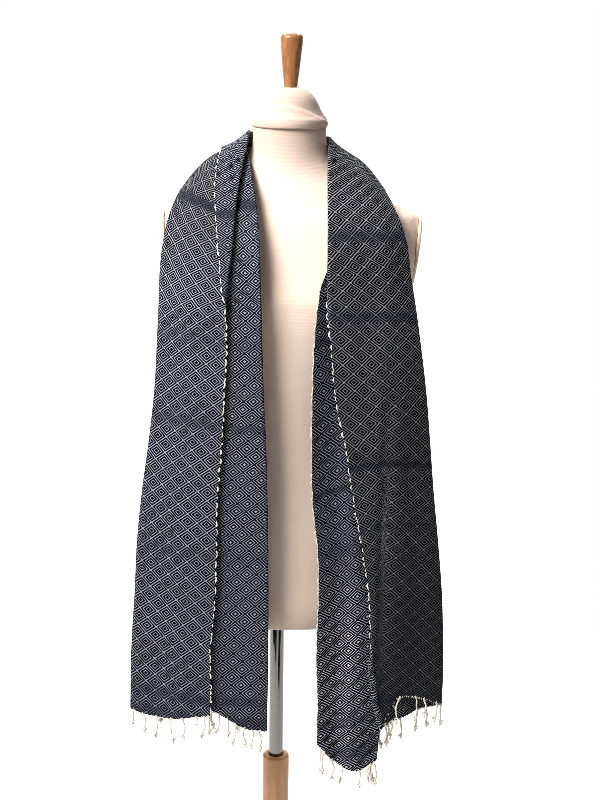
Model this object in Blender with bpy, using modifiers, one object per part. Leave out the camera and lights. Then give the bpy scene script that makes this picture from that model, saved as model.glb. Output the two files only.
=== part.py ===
"""A krama scarf draped round the neck of a limbless dress form on a wooden tripod.

Metres, +Z up, the front faces -Y. The parent empty carries the whole part, so that the middle
of its floor area is the world's origin; inside it the pole's axis is X = 0, Y = 0.
"""
import math
import random

import bmesh
import bpy
import numpy as np
from mathutils import Matrix, Vector

# Place of the pole's axis in the part's own frame
AXIS_X = -0.0120
AXIS_Y = -0.0520

# Cloth
MM = 0.001
WALL = 0.0013
LAYER = 0.0038
SEAM = 0.0005
FOLD_LENGTH = math.pi * LAYER / 2
FOLD_LEAST = 0.35
FRINGE_GAP = 0.0009
BACKING = 0.0026

# Stand
COLUMN_RADIUS = 0.0210
COLUMN_TOP = 0.4560
COLUMN_FOOT = 0.0450
HUB_RADIUS = 0.0330
HUB_TOP = 0.1650
POLE_RADIUS = 0.0111
RUNNING_GAP = 0.0003
POLE_FOOT = 0.2000
BORE_FLOOR = 0.0850
LEG_REACH = 0.2700
LEG_THICKNESS = 0.0240
LEG_COUNT = 3

# Form
FORM_BOTTOM = 0.7030
NECK_TOP = 1.4600
NECK_OFFSET = 0.0115
SOCKET_TOP = 0.8230
CAP_RADIUS = 0.0568
PLATE_HALF_HEIGHT = 0.0600
PLATE_HALF_DEPTH = 0.0480
PLATE_THICKNESS = 0.0050
PLATE_CENTRE = 1.2750
SIDE_FLAT = 0.1850
SIDE_SLOPE = 0.1200
SHOULDER_MIDDLE = 0.0155
BUST_HEIGHT = 1.1950
BUST_SPREAD = 0.0780
BUST_RISE = 0.0070
FORM_SIDES = 36
FORM_LEAN = 0.0152

# Torso, a row for each level: its middle, half width, depth before and behind, squareness
TORSO_COLUMNS = ("height", "middle", "half_width", "front", "back", "square")
TORSO_ROWS = (
    (0.703, .0000, 0.154, 0.100, 0.112, 2.2),
    (0.716, .0003, 0.161, 0.105, 0.119, 2.2),
    (0.780, .0014, 0.169, 0.108, 0.124, 2.2),
    (0.850, .0028, 0.167, 0.108, 0.118, 2.2),
    (0.920, .0045, 0.149, 0.107, 0.100, 2.2),
    (0.980, .0060, 0.130, 0.108, 0.084, 2.2),
    (1.030, .0076, 0.121, 0.110, 0.078, 2.2),
    (1.090, .0096, 0.128, 0.113, 0.082, 2.2),
    (1.150, .0120, 0.142, 0.116, 0.089, 2.2),
    (1.195, .0138, 0.155, 0.118, 0.095, 2.2),
    (1.212, .0155, 0.170, 0.118, 0.096, 2.2),
    (1.232, .0155, 0.194, 0.114, 0.097, 2.2),
    (1.262, .0155, 0.203, 0.106, 0.098, 2.2),
    (1.292, .0155, 0.202, 0.097, 0.096, 2.2),
    (1.318, .0155, 0.196, 0.088, 0.090, 2.2),
    (1.334, .0155, 0.184, 0.080, 0.084, 2.1),
    (1.346, .0150, 0.152, 0.073, 0.079, 2.0),
    (1.358, .0141, 0.129, 0.068, 0.074, 2.0),
    (1.372, .0135, 0.108, 0.063, 0.069, 2.0),
    (1.388, .0128, 0.088, 0.058, 0.064, 2.0),
    (1.404, .0121, 0.071, 0.055, 0.060, 2.0),
    (1.420, .0116, 0.0605, 0.0530, 0.0575, 2.0),
    (1.438, .0115, 0.0560, 0.0515, 0.0560, 2.0),
    (1.460, .0115, 0.0550, 0.0510, 0.0550, 2.0),
)

# Neck cap and finial, profiles from the axis down the outer side
CAP_PROFILE = (
    (0.0000, 0.0588), (0.0110, 0.0586), (0.0200, 0.0570), (0.0275, 0.0534), (0.0335, 0.0482),
    (0.0385, 0.0415), (0.0425, 0.0335), (0.0462, 0.0260), (0.0515, 0.0185), (0.0555, 0.0140),
    (0.0570, 0.0105), (0.0570, 0.0045), (0.0560, 0.0015), (0.0545, 0.0003), (0.0000, 0.0003),
)
FINIAL_PROFILE = (
    (0.0000, 0.0790), (0.0080, 0.0788), (0.0140, 0.0772), (0.0166, 0.0735), (0.0168, 0.0680),
    (0.0152, 0.0500), (0.0128, 0.0250), (0.0106, 0.0060), (0.0100, 0.0000), (0.0000, 0.0000),
)

# Band of folded cloth, a row for each section from the left hem over the neck to the right hem.
# The inner and outer ends of the front layer's line, then, as shares of the band's width, the
# front layer's edge and the folds and far edge of the hidden layers; the front edge's flap and
# its turn; the turns of the hidden folds; the depth of the fold at the outer edge; how far the
# band bulges, ripples and hangs back; the rows up to the next section. Places are in metres,
# turns in degrees, and flap, loft, bulge, folds and swing in millimetres.
BAND_COLUMNS = ("x_in", "y_in", "z_in", "x_out", "y_out", "z_out", "edge", "flap", "turn", "fold",
                "side", "second", "back", "end", "loft", "bulge", "folds", "swing", "rows")
LEFT_ROWS = (
    (-.0155, -.15, .565, -.225, -.09, .565, .391, 2, 0, 0, 180, .45, 0, .62, 10, 4, 0, 0, 1),
    (-.0151, -.151, .62, -.2239, -.09, .62, .394, 2, 0, 0, 180, .45, 0, .62, 10, 4, 0, 0, 1),
    (-.0149, -.152, .68, -.2219, -.09, .68, .398, 2, 0, 0, 180, .45, 0, .62, 10, 5, 0, 0, 1),
    (-.0153, -.153, .76, -.2167, -.09, .76, .375, 2, 0, 0, 180, .45, 0, .64, 10, 6, 0, 0, 1),
    (-.0163, -.154, .84, -.2127, -.09, .84, .367, 2, 0, 0, 180, .45, 0, .68, 10, 6, 0, 0, 1),
    (-.0182, -.155, .92, -.2045, -.089, .92, .37, 2, 0, 0, 180, .45, 0, .72, 9.5, 7, 0, 0, 2),
    (-.0211, -.156, 1.0, -.1937, -.088, 1.0, .347, 2, 0, 0, 180, .45, 0, .78, 9.5, 7, 0, 0, 2),
    (-.0254, -.157, 1.08, -.1849, -.087, 1.08, .324, 2, 0, 0, 180, .45, 0, .84, 9, 8, 0, 0, 2),
    (-.0281, -.157, 1.15, -.1811, -.085, 1.15, .296, 3, 0, 0, 180, .45, 0, .86, 8.5, 9, 0, 0, 2),
    (-.0299, -.156, 1.205, -.1787, -.081, 1.205, .29, 3, -60, 0, 180, .45, 0, .86, 8.5, 10, .4, 0, 2),
    (-.0318, -.151, 1.25, -.1777, -.075, 1.248, .266, 8, -175, 0, 180, .45, 0, .84, 8.5, 10, .8, 0, 2),
    (-.033, -.138, 1.297, -.1745, -.067, 1.287, .235, 18, -180, 0, 180, .42, 0, .78, 8, 9, 1.2, 0, 2),
    (-.0342, -.116, 1.342, -.169, -.055, 1.32, .222, 25, -180, .02, 180, .4, 0, .72, 8, 8, 1.4, 0, 2),
    (-.037, -.086, 1.388, -.161, -.038, 1.345, .18, 33, -180, .06, 180, .38, 0, .68, 8.5, 9, 1.4, 0, 2),
    (-.0425, -.046, 1.428, -.155, -.014, 1.358, .09, 40, -180, .1, 180, .36, 0, .64, 9.5, 10, 1.4, 0, 2),
    (-.0467, -.004, 1.4505, -.1522, .008, 1.361, 0, 45, -180, .14, 180, .34, 0, .6, 10.5, 10, 1.6, 0, 1),
)
NECK_ROWS = (
    (-.0462, .022, 1.448, -.147, .034, 1.356, 0, 40, -180, .14, 180, .33, 0, .54, 10, 8, 2.2, 0, 2),
    (-.0375, .046, 1.4475, -.124, .073, 1.348, .01, 28, -180, .14, 180, .26, 0, .36, 9.8, 7, 3, 0, 3),
    (-.015, .066, 1.4465, -.072, .105, 1.34, .02, 14, -180, .12, 180, .16, 0, .19, 9.8, 6, 3.6, 0, 3),
    (.0115, .074, 1.445, .0115, .116, 1.337, .04, 5, -40, .1, 0, .115, 0, .13, 10.5, 6, 4, 0, 3),
    (.039, .069, 1.445, .095, .105, 1.342, .03, 2, 150, .11, -180, .15, 60, .17, 12.5, 6, 3.6, 0, 3),
    (.0625, .049, 1.444, .142, .074, 1.351, .01, 8, 180, .15, -180, .36, 180, .3, 13.8, 6, 2.8, 0, 2),
    (.0715, .023, 1.444, .1545, .034, 1.36, 0, 14, 180, .18, -180, .54, 180, .4, 13.8, 6, 1.8, 0, 1),
)
RIGHT_ROWS = (
    (.0715, -.002, 1.442, .1562, .008, 1.3655, 0, 18, 180, .2, -180, .6, 180, .44, 13.5, 7, 1.2, 0, 2),
    (.07, -.044, 1.423, .16, -.02, 1.361, 0, 18, 180, .18, -180, .62, 180, .42, 13.5, 7, 1.0, 0, 2),
    (.0694, -.086, 1.386, .168, -.049, 1.349, 0, 17, 180, .16, -180, .62, 180, .38, 14.5, 6, .8, 0, 2),
    (.0696, -.1175, 1.342, .1785, -.069, 1.327, 0, 15, 180, .18, -180, .62, 180, .3, 15.2, 5, .6, 0, 2),
    (.07, -.139, 1.297, .1885, -.078, 1.294, 0, 10, 180, .28, -180, .62, 180, .12, 15.2, 5, .4, 0, 2),
    (.0625, -.152, 1.25, .1945, -.084, 1.249, .06, 4, 175, .38, -180, .64, 180, .02, 15.4, 6, .3, 3, 2),
    (.0599, -.157, 1.205, .202, -.088, 1.205, .082, 3, 60, .42, -180, .66, 180, 0, 15.6, 6, 0, 7, 2),
    (.0573, -.159, 1.15, .2105, -.09, 1.15, .121, 2, 0, .42, -180, .66, 180, 0, 15.8, 6, 0, 10, 2),
    (.0564, -.16, 1.08, .2204, -.089, 1.08, .164, 2, 0, .42, -180, .66, 180, 0, 15.8, 6, 0, 12, 2),
    (.0569, -.16, 1.0, .2285, -.09, 1.0, .247, 2, 0, .42, -180, .64, 180, 0, 15.8, 6, 0, 14, 2),
    (.0598, -.16, .92, .2361, -.091, .92, .297, 2, 0, .42, -180, .62, 180, 0, 15.8, 6, 0, 16, 2),
    (.0687, -.16, .84, .2452, -.092, .84, .333, 2, 0, .4, -180, .6, 180, 0, 16.2, 6, 0, 16, 2),
    (.0705, -.1595, .76, .2532, -.092, .76, .375, 2, 10, .38, -180, .58, 180, 0, 17.2, 5, 0, 16, 2),
    (.0682, -.159, .68, .2572, -.092, .68, .398, 3, 120, .36, -180, .54, 180, 0, 18, 4, 0, 16, 2),
    (.0643, -.158, .62, .2585, -.092, .62, .438, 12, 176, .34, -180, .5, 180, .03, 17.2, 3, 0, 16, 2),
    (.0635, -.157, .55, .2585, -.092, .55, .5, 26, 180, .32, -180, .462, 180, .03, 16.5, 2, 0, 16, 1),
)

# Heights of the hems, against the level distance across the cloth from its front edge
HEM_COLUMNS = ("across", "height")
LEFT_HEM = (
    (0.000, .578), (0.029, .572), (0.054, .567), (0.078, .564), (0.103, .565), (0.128, .570),
    (0.143, .574), (0.196, .580), (0.249, .585), (0.270, .587), (0.302, .566), (0.330, .557),
    (0.354, .557), (0.361, .562), (0.393, .576), (0.430, .583), (0.500, .588),
)
RIGHT_HEM = (
    (0.000, .572), (0.026, .564), (0.030, .562), (0.032, .571), (0.0505, .607), (0.069, .608),
    (0.088, .603), (0.106, .596), (0.125, .586), (0.137, .579), (0.150, .577), (0.182, .574),
    (0.215, .563), (0.247, .549), (0.280, .527), (0.286, .518), (0.305, .512), (0.321, .507),
    (0.339, .492), (0.356, .490), (0.377, .495), (0.396, .507), (0.405, .519), (0.414, .538),
)
HEM_REACH = 0.22

# Fringe, a row for each strand: level distance across the cloth from its front edge, length,
# sideways reach and bend
FRINGE_COLUMNS = ("across", "length", "reach", "bend")
LEFT_FRINGE = (
    (.003, .030, .001, .001), (.010, .036, -.003, .003), (.022, .018, .000, .001),
    (.044, .034, .002, .002), (.062, .038, .003, -.003), (.089, .036, -.002, .003),
    (.111, .032, .002, .002), (.126, .026, -.002, -.001), (.190, .030, .001, .001),
    (.274, .030, .003, -.002), (.285, .034, -.002, .003), (.299, .030, .002, .001),
    (.312, .036, -.003, .002), (.327, .032, .003, -.003), (.339, .030, -.001, .002),
    (.351, .034, .001, .001), (.410, .028, .001, .001),
)
RIGHT_FRINGE = (
    (.010, .030, -.002, .001), (.022, .034, .003, .002), (.060, .042, -.005, -.004),
    (.100, .030, .002, .002), (.122, .032, -.002, .003), (.134, .034, .001, -.002),
    (.165, .034, .002, .001), (.180, .036, -.002, .002), (.211, .034, .003, .002),
    (.228, .036, -.003, .002), (.243, .030, .002, -.002), (.316, .042, -.002, -.003),
    (.326, .040, .003, .003), (.350, .028, .001, .002), (.378, .028, -.003, .002),
    (.395, .036, .002, .003), (.408, .036, -.002, -.002),
)
STRAND_RADIUS = 0.00105
KNOT_RADIUS = 0.0022
STRAND_SIDES = 3

# Points across the cloth: flap, each sharp fold, front layer, outer fold, back layer, hidden
# layer, last layer
POINTS_FLAP = 2
POINTS_FOLD = 3
POINTS_FRONT = 6
POINTS_OUTER = 4
POINTS_BACK = 5
POINTS_HIDDEN = 3
POINTS_LAST = 5

NAVY = (0.035, 0.045, 0.085)
CREAM = (0.78, 0.72, 0.62)
JERSEY = (0.80, 0.70, 0.62)
BEECH = (0.62, 0.40, 0.22)
VARNISHED = (0.42, 0.21, 0.08)
CHROME = (0.72, 0.73, 0.75)


def clear_scene():
    for item in list(bpy.data.objects):
        bpy.data.objects.remove(item, do_unlink=True)


def make_material(name, colour, roughness, metallic=0.0):
    material = bpy.data.materials.new(name)
    material.use_nodes = True
    shader = material.node_tree.nodes["Principled BSDF"]
    shader.inputs["Base Color"].default_value = (*colour, 1.0)
    shader.inputs["Roughness"].default_value = roughness
    shader.inputs["Metallic"].default_value = metallic
    return material


def make_collection(name):
    collection = bpy.data.collections.new(name)
    bpy.context.scene.collection.children.link(collection)
    return collection


def add_object(name, mesh, collection, parent, material, smooth=True):
    item = bpy.data.objects.new(name, mesh)
    collection.objects.link(item)
    item.parent = parent
    if material is not None:
        mesh.materials.append(material)
    if smooth:
        mesh.shade_smooth()
        mesh.set_sharp_from_angle(angle=math.radians(50))
    return item


def table(columns, rows):
    values = np.array(rows, dtype=float)
    return {name: values[:, index] for index, name in enumerate(columns)}


def smooth_between(values, steps, spacing):
    """Cubic Hermite rows through the given ones, with each gap cut into its number of steps."""
    values = np.array(values, dtype=float)
    distance = np.concatenate(([0.0], np.cumsum(spacing)))
    tangents = np.gradient(values, distance, axis=0)
    rows = []
    for index, count in enumerate(steps):
        length = distance[index + 1] - distance[index]
        for step in range(count):
            t = step / count
            rows.append(
                (2 * t**3 - 3 * t**2 + 1) * values[index]
                + (t**3 - 2 * t**2 + t) * length * tangents[index]
                + (3 * t**2 - 2 * t**3) * values[index + 1]
                + (t**3 - t**2) * length * tangents[index + 1])
    rows.append(values[-1])
    return np.array(rows)


def band_stretches():
    """The rows of the left, neck and right stretches, smoothed as one band."""
    rows = np.array(LEFT_ROWS + NECK_ROWS + RIGHT_ROWS, dtype=float)
    middles = (rows[:, 0:3] + rows[:, 3:6]) / 2
    spacing = np.linalg.norm(np.diff(middles, axis=0), axis=1)
    steps = rows[:-1, -1].astype(int)
    smooth = smooth_between(rows[:, :-1], steps, spacing)
    starts = np.concatenate(([0], np.cumsum(steps)))
    left_end = starts[len(LEFT_ROWS) - 1]
    right_start = starts[len(LEFT_ROWS) + len(NECK_ROWS)]
    return smooth, left_end, right_start


def walk(start, heading, turn, length, count):
    """A fold that turns by an angle, then a straight run, as points in a section."""
    points = []
    s, h = start
    angle = math.radians(heading)
    step_turn = math.radians(turn) / POINTS_FOLD
    share = FOLD_LEAST + (1 - FOLD_LEAST) * min(1.0, abs(turn) / 180)
    step = FOLD_LENGTH * share / POINTS_FOLD
    for _ in range(POINTS_FOLD):
        angle += step_turn / 2
        s += step * math.cos(angle)
        h += step * math.sin(angle)
        angle += step_turn / 2
        points.append((s, h))
    for _ in range(count):
        s += length / count * math.cos(angle)
        h += length / count * math.sin(angle)
        points.append((s, h))
    return points, math.degrees(angle)


def section(row):
    """One section of the folded band: points along and above the line from inner to outer."""
    data = dict(zip(BAND_COLUMNS, row))
    inner = np.array([data["x_in"], data["y_in"], data["z_in"]])
    outer = np.array([data["x_out"], data["y_out"], data["z_out"]])
    width = float(np.linalg.norm(outer - inner))
    loft = data["loft"] * MM
    radius = loft / 2

    def bulge(s):
        share = min(1.0, max(0.0, s / width))
        ripple = data["folds"] * MM * math.sin(3.0 * math.pi * share)
        return data["bulge"] * MM * math.sin(math.pi * share**1.6) - ripple

    def swing(s):
        share = min(1.0, max(0.0, (s - 0.036) / 0.020))
        return -data["swing"] * MM * (1 - share * share * (3 - 2 * share))

    turn = max(-180.0, min(180.0, data["turn"]))
    side = max(-180.0, min(180.0, data["side"]))
    back = max(0.0, min(180.0, data["back"]))
    flap, _ = walk((0.0, 0.0), 180, turn, data["flap"] * MM, POINTS_FLAP)
    edge = data["edge"] * width - min(s for s, _ in flap)
    points = [(edge + s, h + bulge(edge + s)) for s, h in reversed(flap)]
    last = width - radius
    for index in range(POINTS_FRONT):
        s = edge + (last - edge) * index / (POINTS_FRONT - 1)
        points.append((s, bulge(s)))
    for index in range(1, POINTS_OUTER):
        angle = math.pi * index / POINTS_OUTER
        s = last + radius * math.sin(angle)
        points.append((s, bulge(last) - radius * (1 - math.cos(angle))))
    fold = data["fold"] * width + LAYER / 2
    for index in range(POINTS_BACK):
        s = last + (fold - last) * index / (POINTS_BACK - 1)
        points.append((s, bulge(s) - loft))
    run = max(0.0015, (data["second"] - data["fold"]) * width)
    hidden, heading = walk((fold, -loft), 180, side, run, POINTS_HIDDEN)
    end = max(0.0015, abs(data["second"] - data["end"]) * width)
    rest, _ = walk(hidden[-1], heading, back, end, POINTS_LAST)
    points += [(s, h + bulge(s)) for s, h in hidden]
    for s, h in rest:
        points.append((s, h + bulge(s) + swing(s)))
    return inner, outer, width, points


def band_grid(rows, hem=None, hem_first=True):
    """Points of the cloth's middle surface, a line of points for each row."""
    middles = (rows[:, 0:3] + rows[:, 3:6]) / 2
    tangents = np.gradient(middles, axis=0)
    grid = []
    for row, tangent in zip(rows, tangents):
        inner, outer, width, points = section(row)
        across = (outer - inner) / width
        normal = np.cross(tangent, across)
        normal /= np.linalg.norm(normal)
        grid.append([inner + across * s + normal * h for s, h in points])
    grid = np.array(grid)
    if hem is not None:
        grid = set_hem(grid, table(HEM_COLUMNS, hem), hem_first)
    return grid


def distance_across(line):
    return np.concatenate(([0.0], np.cumsum(np.linalg.norm(np.diff(line, axis=0), axis=1))))


def set_hem(grid, hem, hem_first):
    """Moves the hem row to its own heights, and the rows above it by less and less."""
    end = 0 if hem_first else len(grid) - 1
    line = grid[end]
    wanted = np.interp(distance_across(line[:, 0:2]), hem["across"], hem["height"])
    shift = wanted - line[:, 2]
    base = line[:, 2].mean()
    for index in range(len(grid)):
        share = np.clip((grid[index, :, 2].mean() - base) / HEM_REACH, 0.0, 1.0)
        grid[index, :, 2] += shift * (1 - share) ** 2
    return grid


def trimmed(grid, at_start, at_end):
    """Draws the first or last row back by half a seam towards its neighbour."""
    grid = grid.copy()
    for wanted, end, inside in ((at_start, 0, 1), (at_end, -1, -2)):
        if wanted:
            step = grid[inside] - grid[end]
            length = np.linalg.norm(step, axis=1)[:, None]
            grid[end] = grid[end] + step / length * SEAM / 2
    return grid


def cloth_wall(name, grid, collection, parent, material):
    """A wall of cloth with the grid as its middle surface."""
    rows, columns = grid.shape[0], grid.shape[1]
    mesh = bpy.data.meshes.new(name)
    shape = bmesh.new()
    points = [[shape.verts.new(point) for point in line] for line in grid]
    for row in range(rows - 1):
        for column in range(columns - 1):
            shape.faces.new((points[row][column], points[row][column + 1],
                             points[row + 1][column + 1], points[row + 1][column]))
    shape.to_mesh(mesh)
    shape.free()
    item = add_object(name, mesh, collection, parent, material)
    shell = item.modifiers.new("Wall", "SOLIDIFY")
    shell.thickness = WALL
    shell.offset = 0.0
    shell.use_even_offset = True
    return item


def strand_mesh(shape, root, side, row, seed):
    """A thin strand that hangs from its root, with a knot above its end."""
    rng = random.Random(seed)
    knot = KNOT_RADIUS / STRAND_RADIUS
    rings = ((0.0, 1), (0.4, 0.95), (0.70, 1), (0.76, knot), (0.86, knot), (0.92, 0.9), (1.0, 0.8))
    across, length, reach, bend = row
    twist = rng.uniform(0, math.pi)
    lines = []
    for share, swell in rings:
        sideways = reach * share + bend * math.sin(math.pi * share)
        centre = root + side * sideways - Vector((0, 0, length * share))
        ring = []
        for index in range(STRAND_SIDES):
            angle = twist + 2 * math.pi * index / STRAND_SIDES
            offset = Vector((math.cos(angle), math.sin(angle), 0)) * STRAND_RADIUS * swell
            ring.append(shape.verts.new(centre + offset))
        lines.append(ring)
    for upper, lower in zip(lines, lines[1:]):
        for index in range(STRAND_SIDES):
            after = (index + 1) % STRAND_SIDES
            shape.faces.new((upper[index], lower[index], lower[after], upper[after]))
    shape.faces.new(lines[0])
    shape.faces.new(list(reversed(lines[-1])))


def strip_lines(hem_line, inside_line):
    """Upper and lower line of a strip that goes on from the hem, square to its edge."""
    along = np.gradient(hem_line, axis=0)
    along /= np.linalg.norm(along, axis=1)[:, None]
    down = hem_line - inside_line
    down -= along * np.sum(down * along, axis=1)[:, None]
    down /= np.linalg.norm(down, axis=1)[:, None]
    return hem_line + down * FRINGE_GAP, hem_line + down * (FRINGE_GAP + BACKING)


def fringe(name, hem_line, inside_line, rows, seed, collections, parent, material):
    """A narrow backing strip just under the hem, with the strands fused to it."""
    collection, cutters = collections
    top, bottom = strip_lines(hem_line, inside_line)
    strip = cloth_wall(name, np.array([top, bottom]), collection, parent, material)
    places = distance_across(hem_line[:, 0:2])
    roots = top * 0.45 + bottom * 0.55
    mesh = bpy.data.meshes.new(name + "_strands")
    shape = bmesh.new()
    for number, row in enumerate(rows):
        root = Vector([np.interp(row[0], places, roots[:, axis]) for axis in range(3)])
        ahead = Vector([np.interp(row[0] + 0.002, places, roots[:, axis]) for axis in range(3)])
        side = ahead - root
        side.z = 0
        side.normalize()
        if side.x < 0:
            side.negate()
        strand_mesh(shape, root, side, row, seed + number)
    shape.to_mesh(mesh)
    shape.free()
    strands = add_object(name + "_strands", mesh, cutters, parent, None, smooth=False)
    strands.hide_render = True
    strands.display_type = "WIRE"
    union = strip.modifiers.new("Strands", "BOOLEAN")
    union.operation = "UNION"
    union.object = strands
    return strip


def form_radius(row, angle):
    """A point of the torso's outline at one level, on a flattened oval with a raised bust."""
    height, _, half_width, front, back, square = row
    cosine, sine = math.cos(angle), math.sin(angle)
    x = half_width * math.copysign(abs(cosine) ** (2 / square), cosine)
    depth = back if sine > 0 else front
    y = depth * math.copysign(abs(sine) ** (2 / square), sine)
    flat = SIDE_FLAT + SIDE_SLOPE * (height - PLATE_CENTRE)
    if height > 1.21:
        x = max(-flat, min(flat, x))
    if sine < 0:
        near = math.exp(-((height - BUST_HEIGHT) / 0.055) ** 2)
        left = math.exp(-((x + BUST_SPREAD) / 0.048) ** 2)
        right = math.exp(-((x - BUST_SPREAD) / 0.048) ** 2)
        y -= BUST_RISE * near * (left + right) * abs(sine)
    return x, y


def torso(collection, parent, material):
    """The torso as one closed loft, with the pole's socket in its underside."""
    mesh = bpy.data.meshes.new("form_torso")
    shape = bmesh.new()
    angles = [2 * math.pi * index / FORM_SIDES for index in range(FORM_SIDES)]
    levels = []
    bore = POLE_RADIUS + RUNNING_GAP
    for height in (SOCKET_TOP, FORM_BOTTOM):
        levels.append([(bore * math.cos(a), bore * math.sin(a), height) for a in angles])
    for row in TORSO_ROWS:
        ring = [form_radius(row, a) for a in angles]
        levels.append([(x + row[1], y, row[0]) for x, y in ring])
    rings = [[shape.verts.new(point) for point in level] for level in levels]
    for lower, upper in zip(rings, rings[1:]):
        for index in range(FORM_SIDES):
            after = (index + 1) % FORM_SIDES
            shape.faces.new((lower[index], lower[after], upper[after], upper[index]))
    shape.faces.new(list(reversed(rings[0])))
    shape.faces.new(rings[-1])
    bmesh.ops.recalc_face_normals(shape, faces=shape.faces)
    shape.to_mesh(mesh)
    shape.free()
    return add_object("form_torso", mesh, collection, parent, material)


def turned(name, profile, place, collection, parent, material, sides=24):
    """A turned piece: the profile, from the axis down its outer side, spun about Z."""
    mesh = bpy.data.meshes.new(name)
    mesh.from_pydata([(x, 0.0, z) for x, z in profile],
                     [(index, index + 1) for index in range(len(profile) - 1)], [])
    item = add_object(name, mesh, collection, parent, material)
    item.location = place
    spin = item.modifiers.new("Turn", "SCREW")
    spin.axis = "Z"
    spin.angle = 2 * math.pi
    spin.steps = sides
    spin.render_steps = sides
    spin.use_merge_vertices = True
    spin.merge_threshold = 0.00005
    spin.use_smooth_shade = True
    return item


def cap_and_finial(collection, parent, jersey, wood):
    place = (NECK_OFFSET, 0.001, NECK_TOP)
    turned("neck_cap", CAP_PROFILE, place, collection, parent, jersey, 28)
    top = CAP_PROFILE[0][1] + 0.0005
    place = (NECK_OFFSET + FORM_LEAN * top, 0.001, NECK_TOP + top)
    finial = turned("finial", FINIAL_PROFILE, place, collection, parent, wood, 20)
    finial.rotation_euler = (0, math.atan(FORM_LEAN), 0)


def armhole_plates(collection, parent, material):
    """An oval plate on each flat end of the shoulders."""
    for name, sign in (("armhole_plate_left", -1), ("armhole_plate_right", 1)):
        mesh = bpy.data.meshes.new(name)
        shape = bmesh.new()
        bmesh.ops.create_cone(shape, cap_ends=True, segments=28, radius1=1.0, radius2=1.0,
                              depth=1.0)
        bmesh.ops.transform(shape, matrix=Matrix.Rotation(math.pi / 2, 4, "Y"), verts=shape.verts)
        bmesh.ops.scale(shape, vec=(PLATE_THICKNESS, PLATE_HALF_DEPTH, PLATE_HALF_HEIGHT),
                        verts=shape.verts)
        shape.to_mesh(mesh)
        shape.free()
        item = add_object(name, mesh, collection, parent, material)
        tilt = math.atan(SIDE_SLOPE)
        outside = SIDE_FLAT + (RUNNING_GAP + PLATE_THICKNESS / 2) / math.cos(tilt)
        item.location = (SHOULDER_MIDDLE + sign * outside, 0.001, PLATE_CENTRE)
        item.rotation_euler = (0, sign * tilt, 0)
        edge = item.modifiers.new("Round edge", "BEVEL")
        edge.width = 0.0018
        edge.segments = 2
        edge.limit_method = "ANGLE"


def column(collection, parent, material):
    """The turned column, with its bore, and the thicker hub that the legs meet."""
    bore = POLE_RADIUS + RUNNING_GAP
    profile = [(0.0, BORE_FLOOR), (bore, BORE_FLOOR), (bore, COLUMN_TOP - 0.0045)]
    lip = 0.0035
    for step in range(4):
        angle = math.pi / 2 * step / 3
        profile.append((bore + lip * (1 - math.cos(angle)), COLUMN_TOP - 0.0045 + lip * math.sin(angle)))
    rounding = 0.0060
    for step in range(4):
        angle = math.pi / 2 * step / 3
        profile.append((COLUMN_RADIUS - rounding * (1 - math.sin(angle)),
                        COLUMN_TOP - 0.001 - rounding * (1 - math.cos(angle))))
    profile += [(COLUMN_RADIUS, HUB_TOP + 0.040), (COLUMN_RADIUS + 0.003, HUB_TOP + 0.022),
                (HUB_RADIUS - 0.003, HUB_TOP + 0.006), (HUB_RADIUS, HUB_TOP),
                (HUB_RADIUS, COLUMN_FOOT + 0.006), (HUB_RADIUS - 0.006, COLUMN_FOOT),
                (0.0, COLUMN_FOOT)]
    turned("column", profile, (0, 0, 0), collection, parent, material, 28)


def bezier(points, count):
    """Points along a cubic curve given by its four handles, without the last one."""
    a, b, c, d = (Vector(point) for point in points)
    result = []
    for step in range(count):
        t = step / count
        result.append(a * (1 - t) ** 3 + b * 3 * t * (1 - t) ** 2 + c * 3 * t * t * (1 - t) + d * t**3)
    return result


def leg_outline():
    """Side view of a leg, out from the hub and down to its flat foot."""
    inside = HUB_RADIUS - 0.010
    foot = LEG_REACH - 0.042
    outline = bezier(((inside, 0.150), (0.090, 0.152), (0.170, 0.040), (LEG_REACH - 0.020, 0.024)), 10)
    outline += bezier(((LEG_REACH - 0.020, 0.024), (LEG_REACH - 0.008, 0.022),
                       (LEG_REACH, 0.016), (LEG_REACH, 0.006)), 4)
    outline += [Vector((LEG_REACH, 0.004)), Vector((LEG_REACH - 0.003, 0.0)), Vector((foot, 0.0))]
    outline += bezier(((foot - 0.004, 0.003), (0.150, 0.030), (0.095, 0.078), (inside, 0.078)), 9)
    outline += [Vector((inside, 0.078))]
    return outline


def legs(collections, parent, material):
    """Three shaped legs, each cut round the hub that it meets."""
    collection, cutters = collections
    cutter_mesh = bpy.data.meshes.new("hub_cutter")
    shape = bmesh.new()
    bmesh.ops.create_cone(shape, cap_ends=True, segments=56, radius1=HUB_RADIUS + RUNNING_GAP,
                          radius2=HUB_RADIUS + RUNNING_GAP, depth=0.4)
    shape.to_mesh(cutter_mesh)
    shape.free()
    cutter = add_object("hub_cutter", cutter_mesh, cutters, parent, None, smooth=False)
    cutter.location = (0, 0, 0.12)
    cutter.hide_render = True
    cutter.display_type = "WIRE"
    outline = leg_outline()
    for number in range(LEG_COUNT):
        name = "leg_%d" % (number + 1)
        mesh = bpy.data.meshes.new(name)
        shape = bmesh.new()
        half = LEG_THICKNESS / 2
        near = [shape.verts.new((point.x, -half, point.y)) for point in outline]
        far = [shape.verts.new((point.x, half, point.y)) for point in outline]
        count = len(outline)
        shape.faces.new(near)
        shape.faces.new(list(reversed(far)))
        for index in range(count):
            after = (index + 1) % count
            shape.faces.new((near[index], far[index], far[after], near[after]))
        bmesh.ops.recalc_face_normals(shape, faces=shape.faces)
        shape.to_mesh(mesh)
        shape.free()
        item = add_object(name, mesh, collection, parent, material)
        item.rotation_euler = (0, 0, math.radians(90 + 360 / LEG_COUNT * number))
        cut = item.modifiers.new("Seat on hub", "BOOLEAN")
        cut.operation = "DIFFERENCE"
        cut.object = cutter


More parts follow.
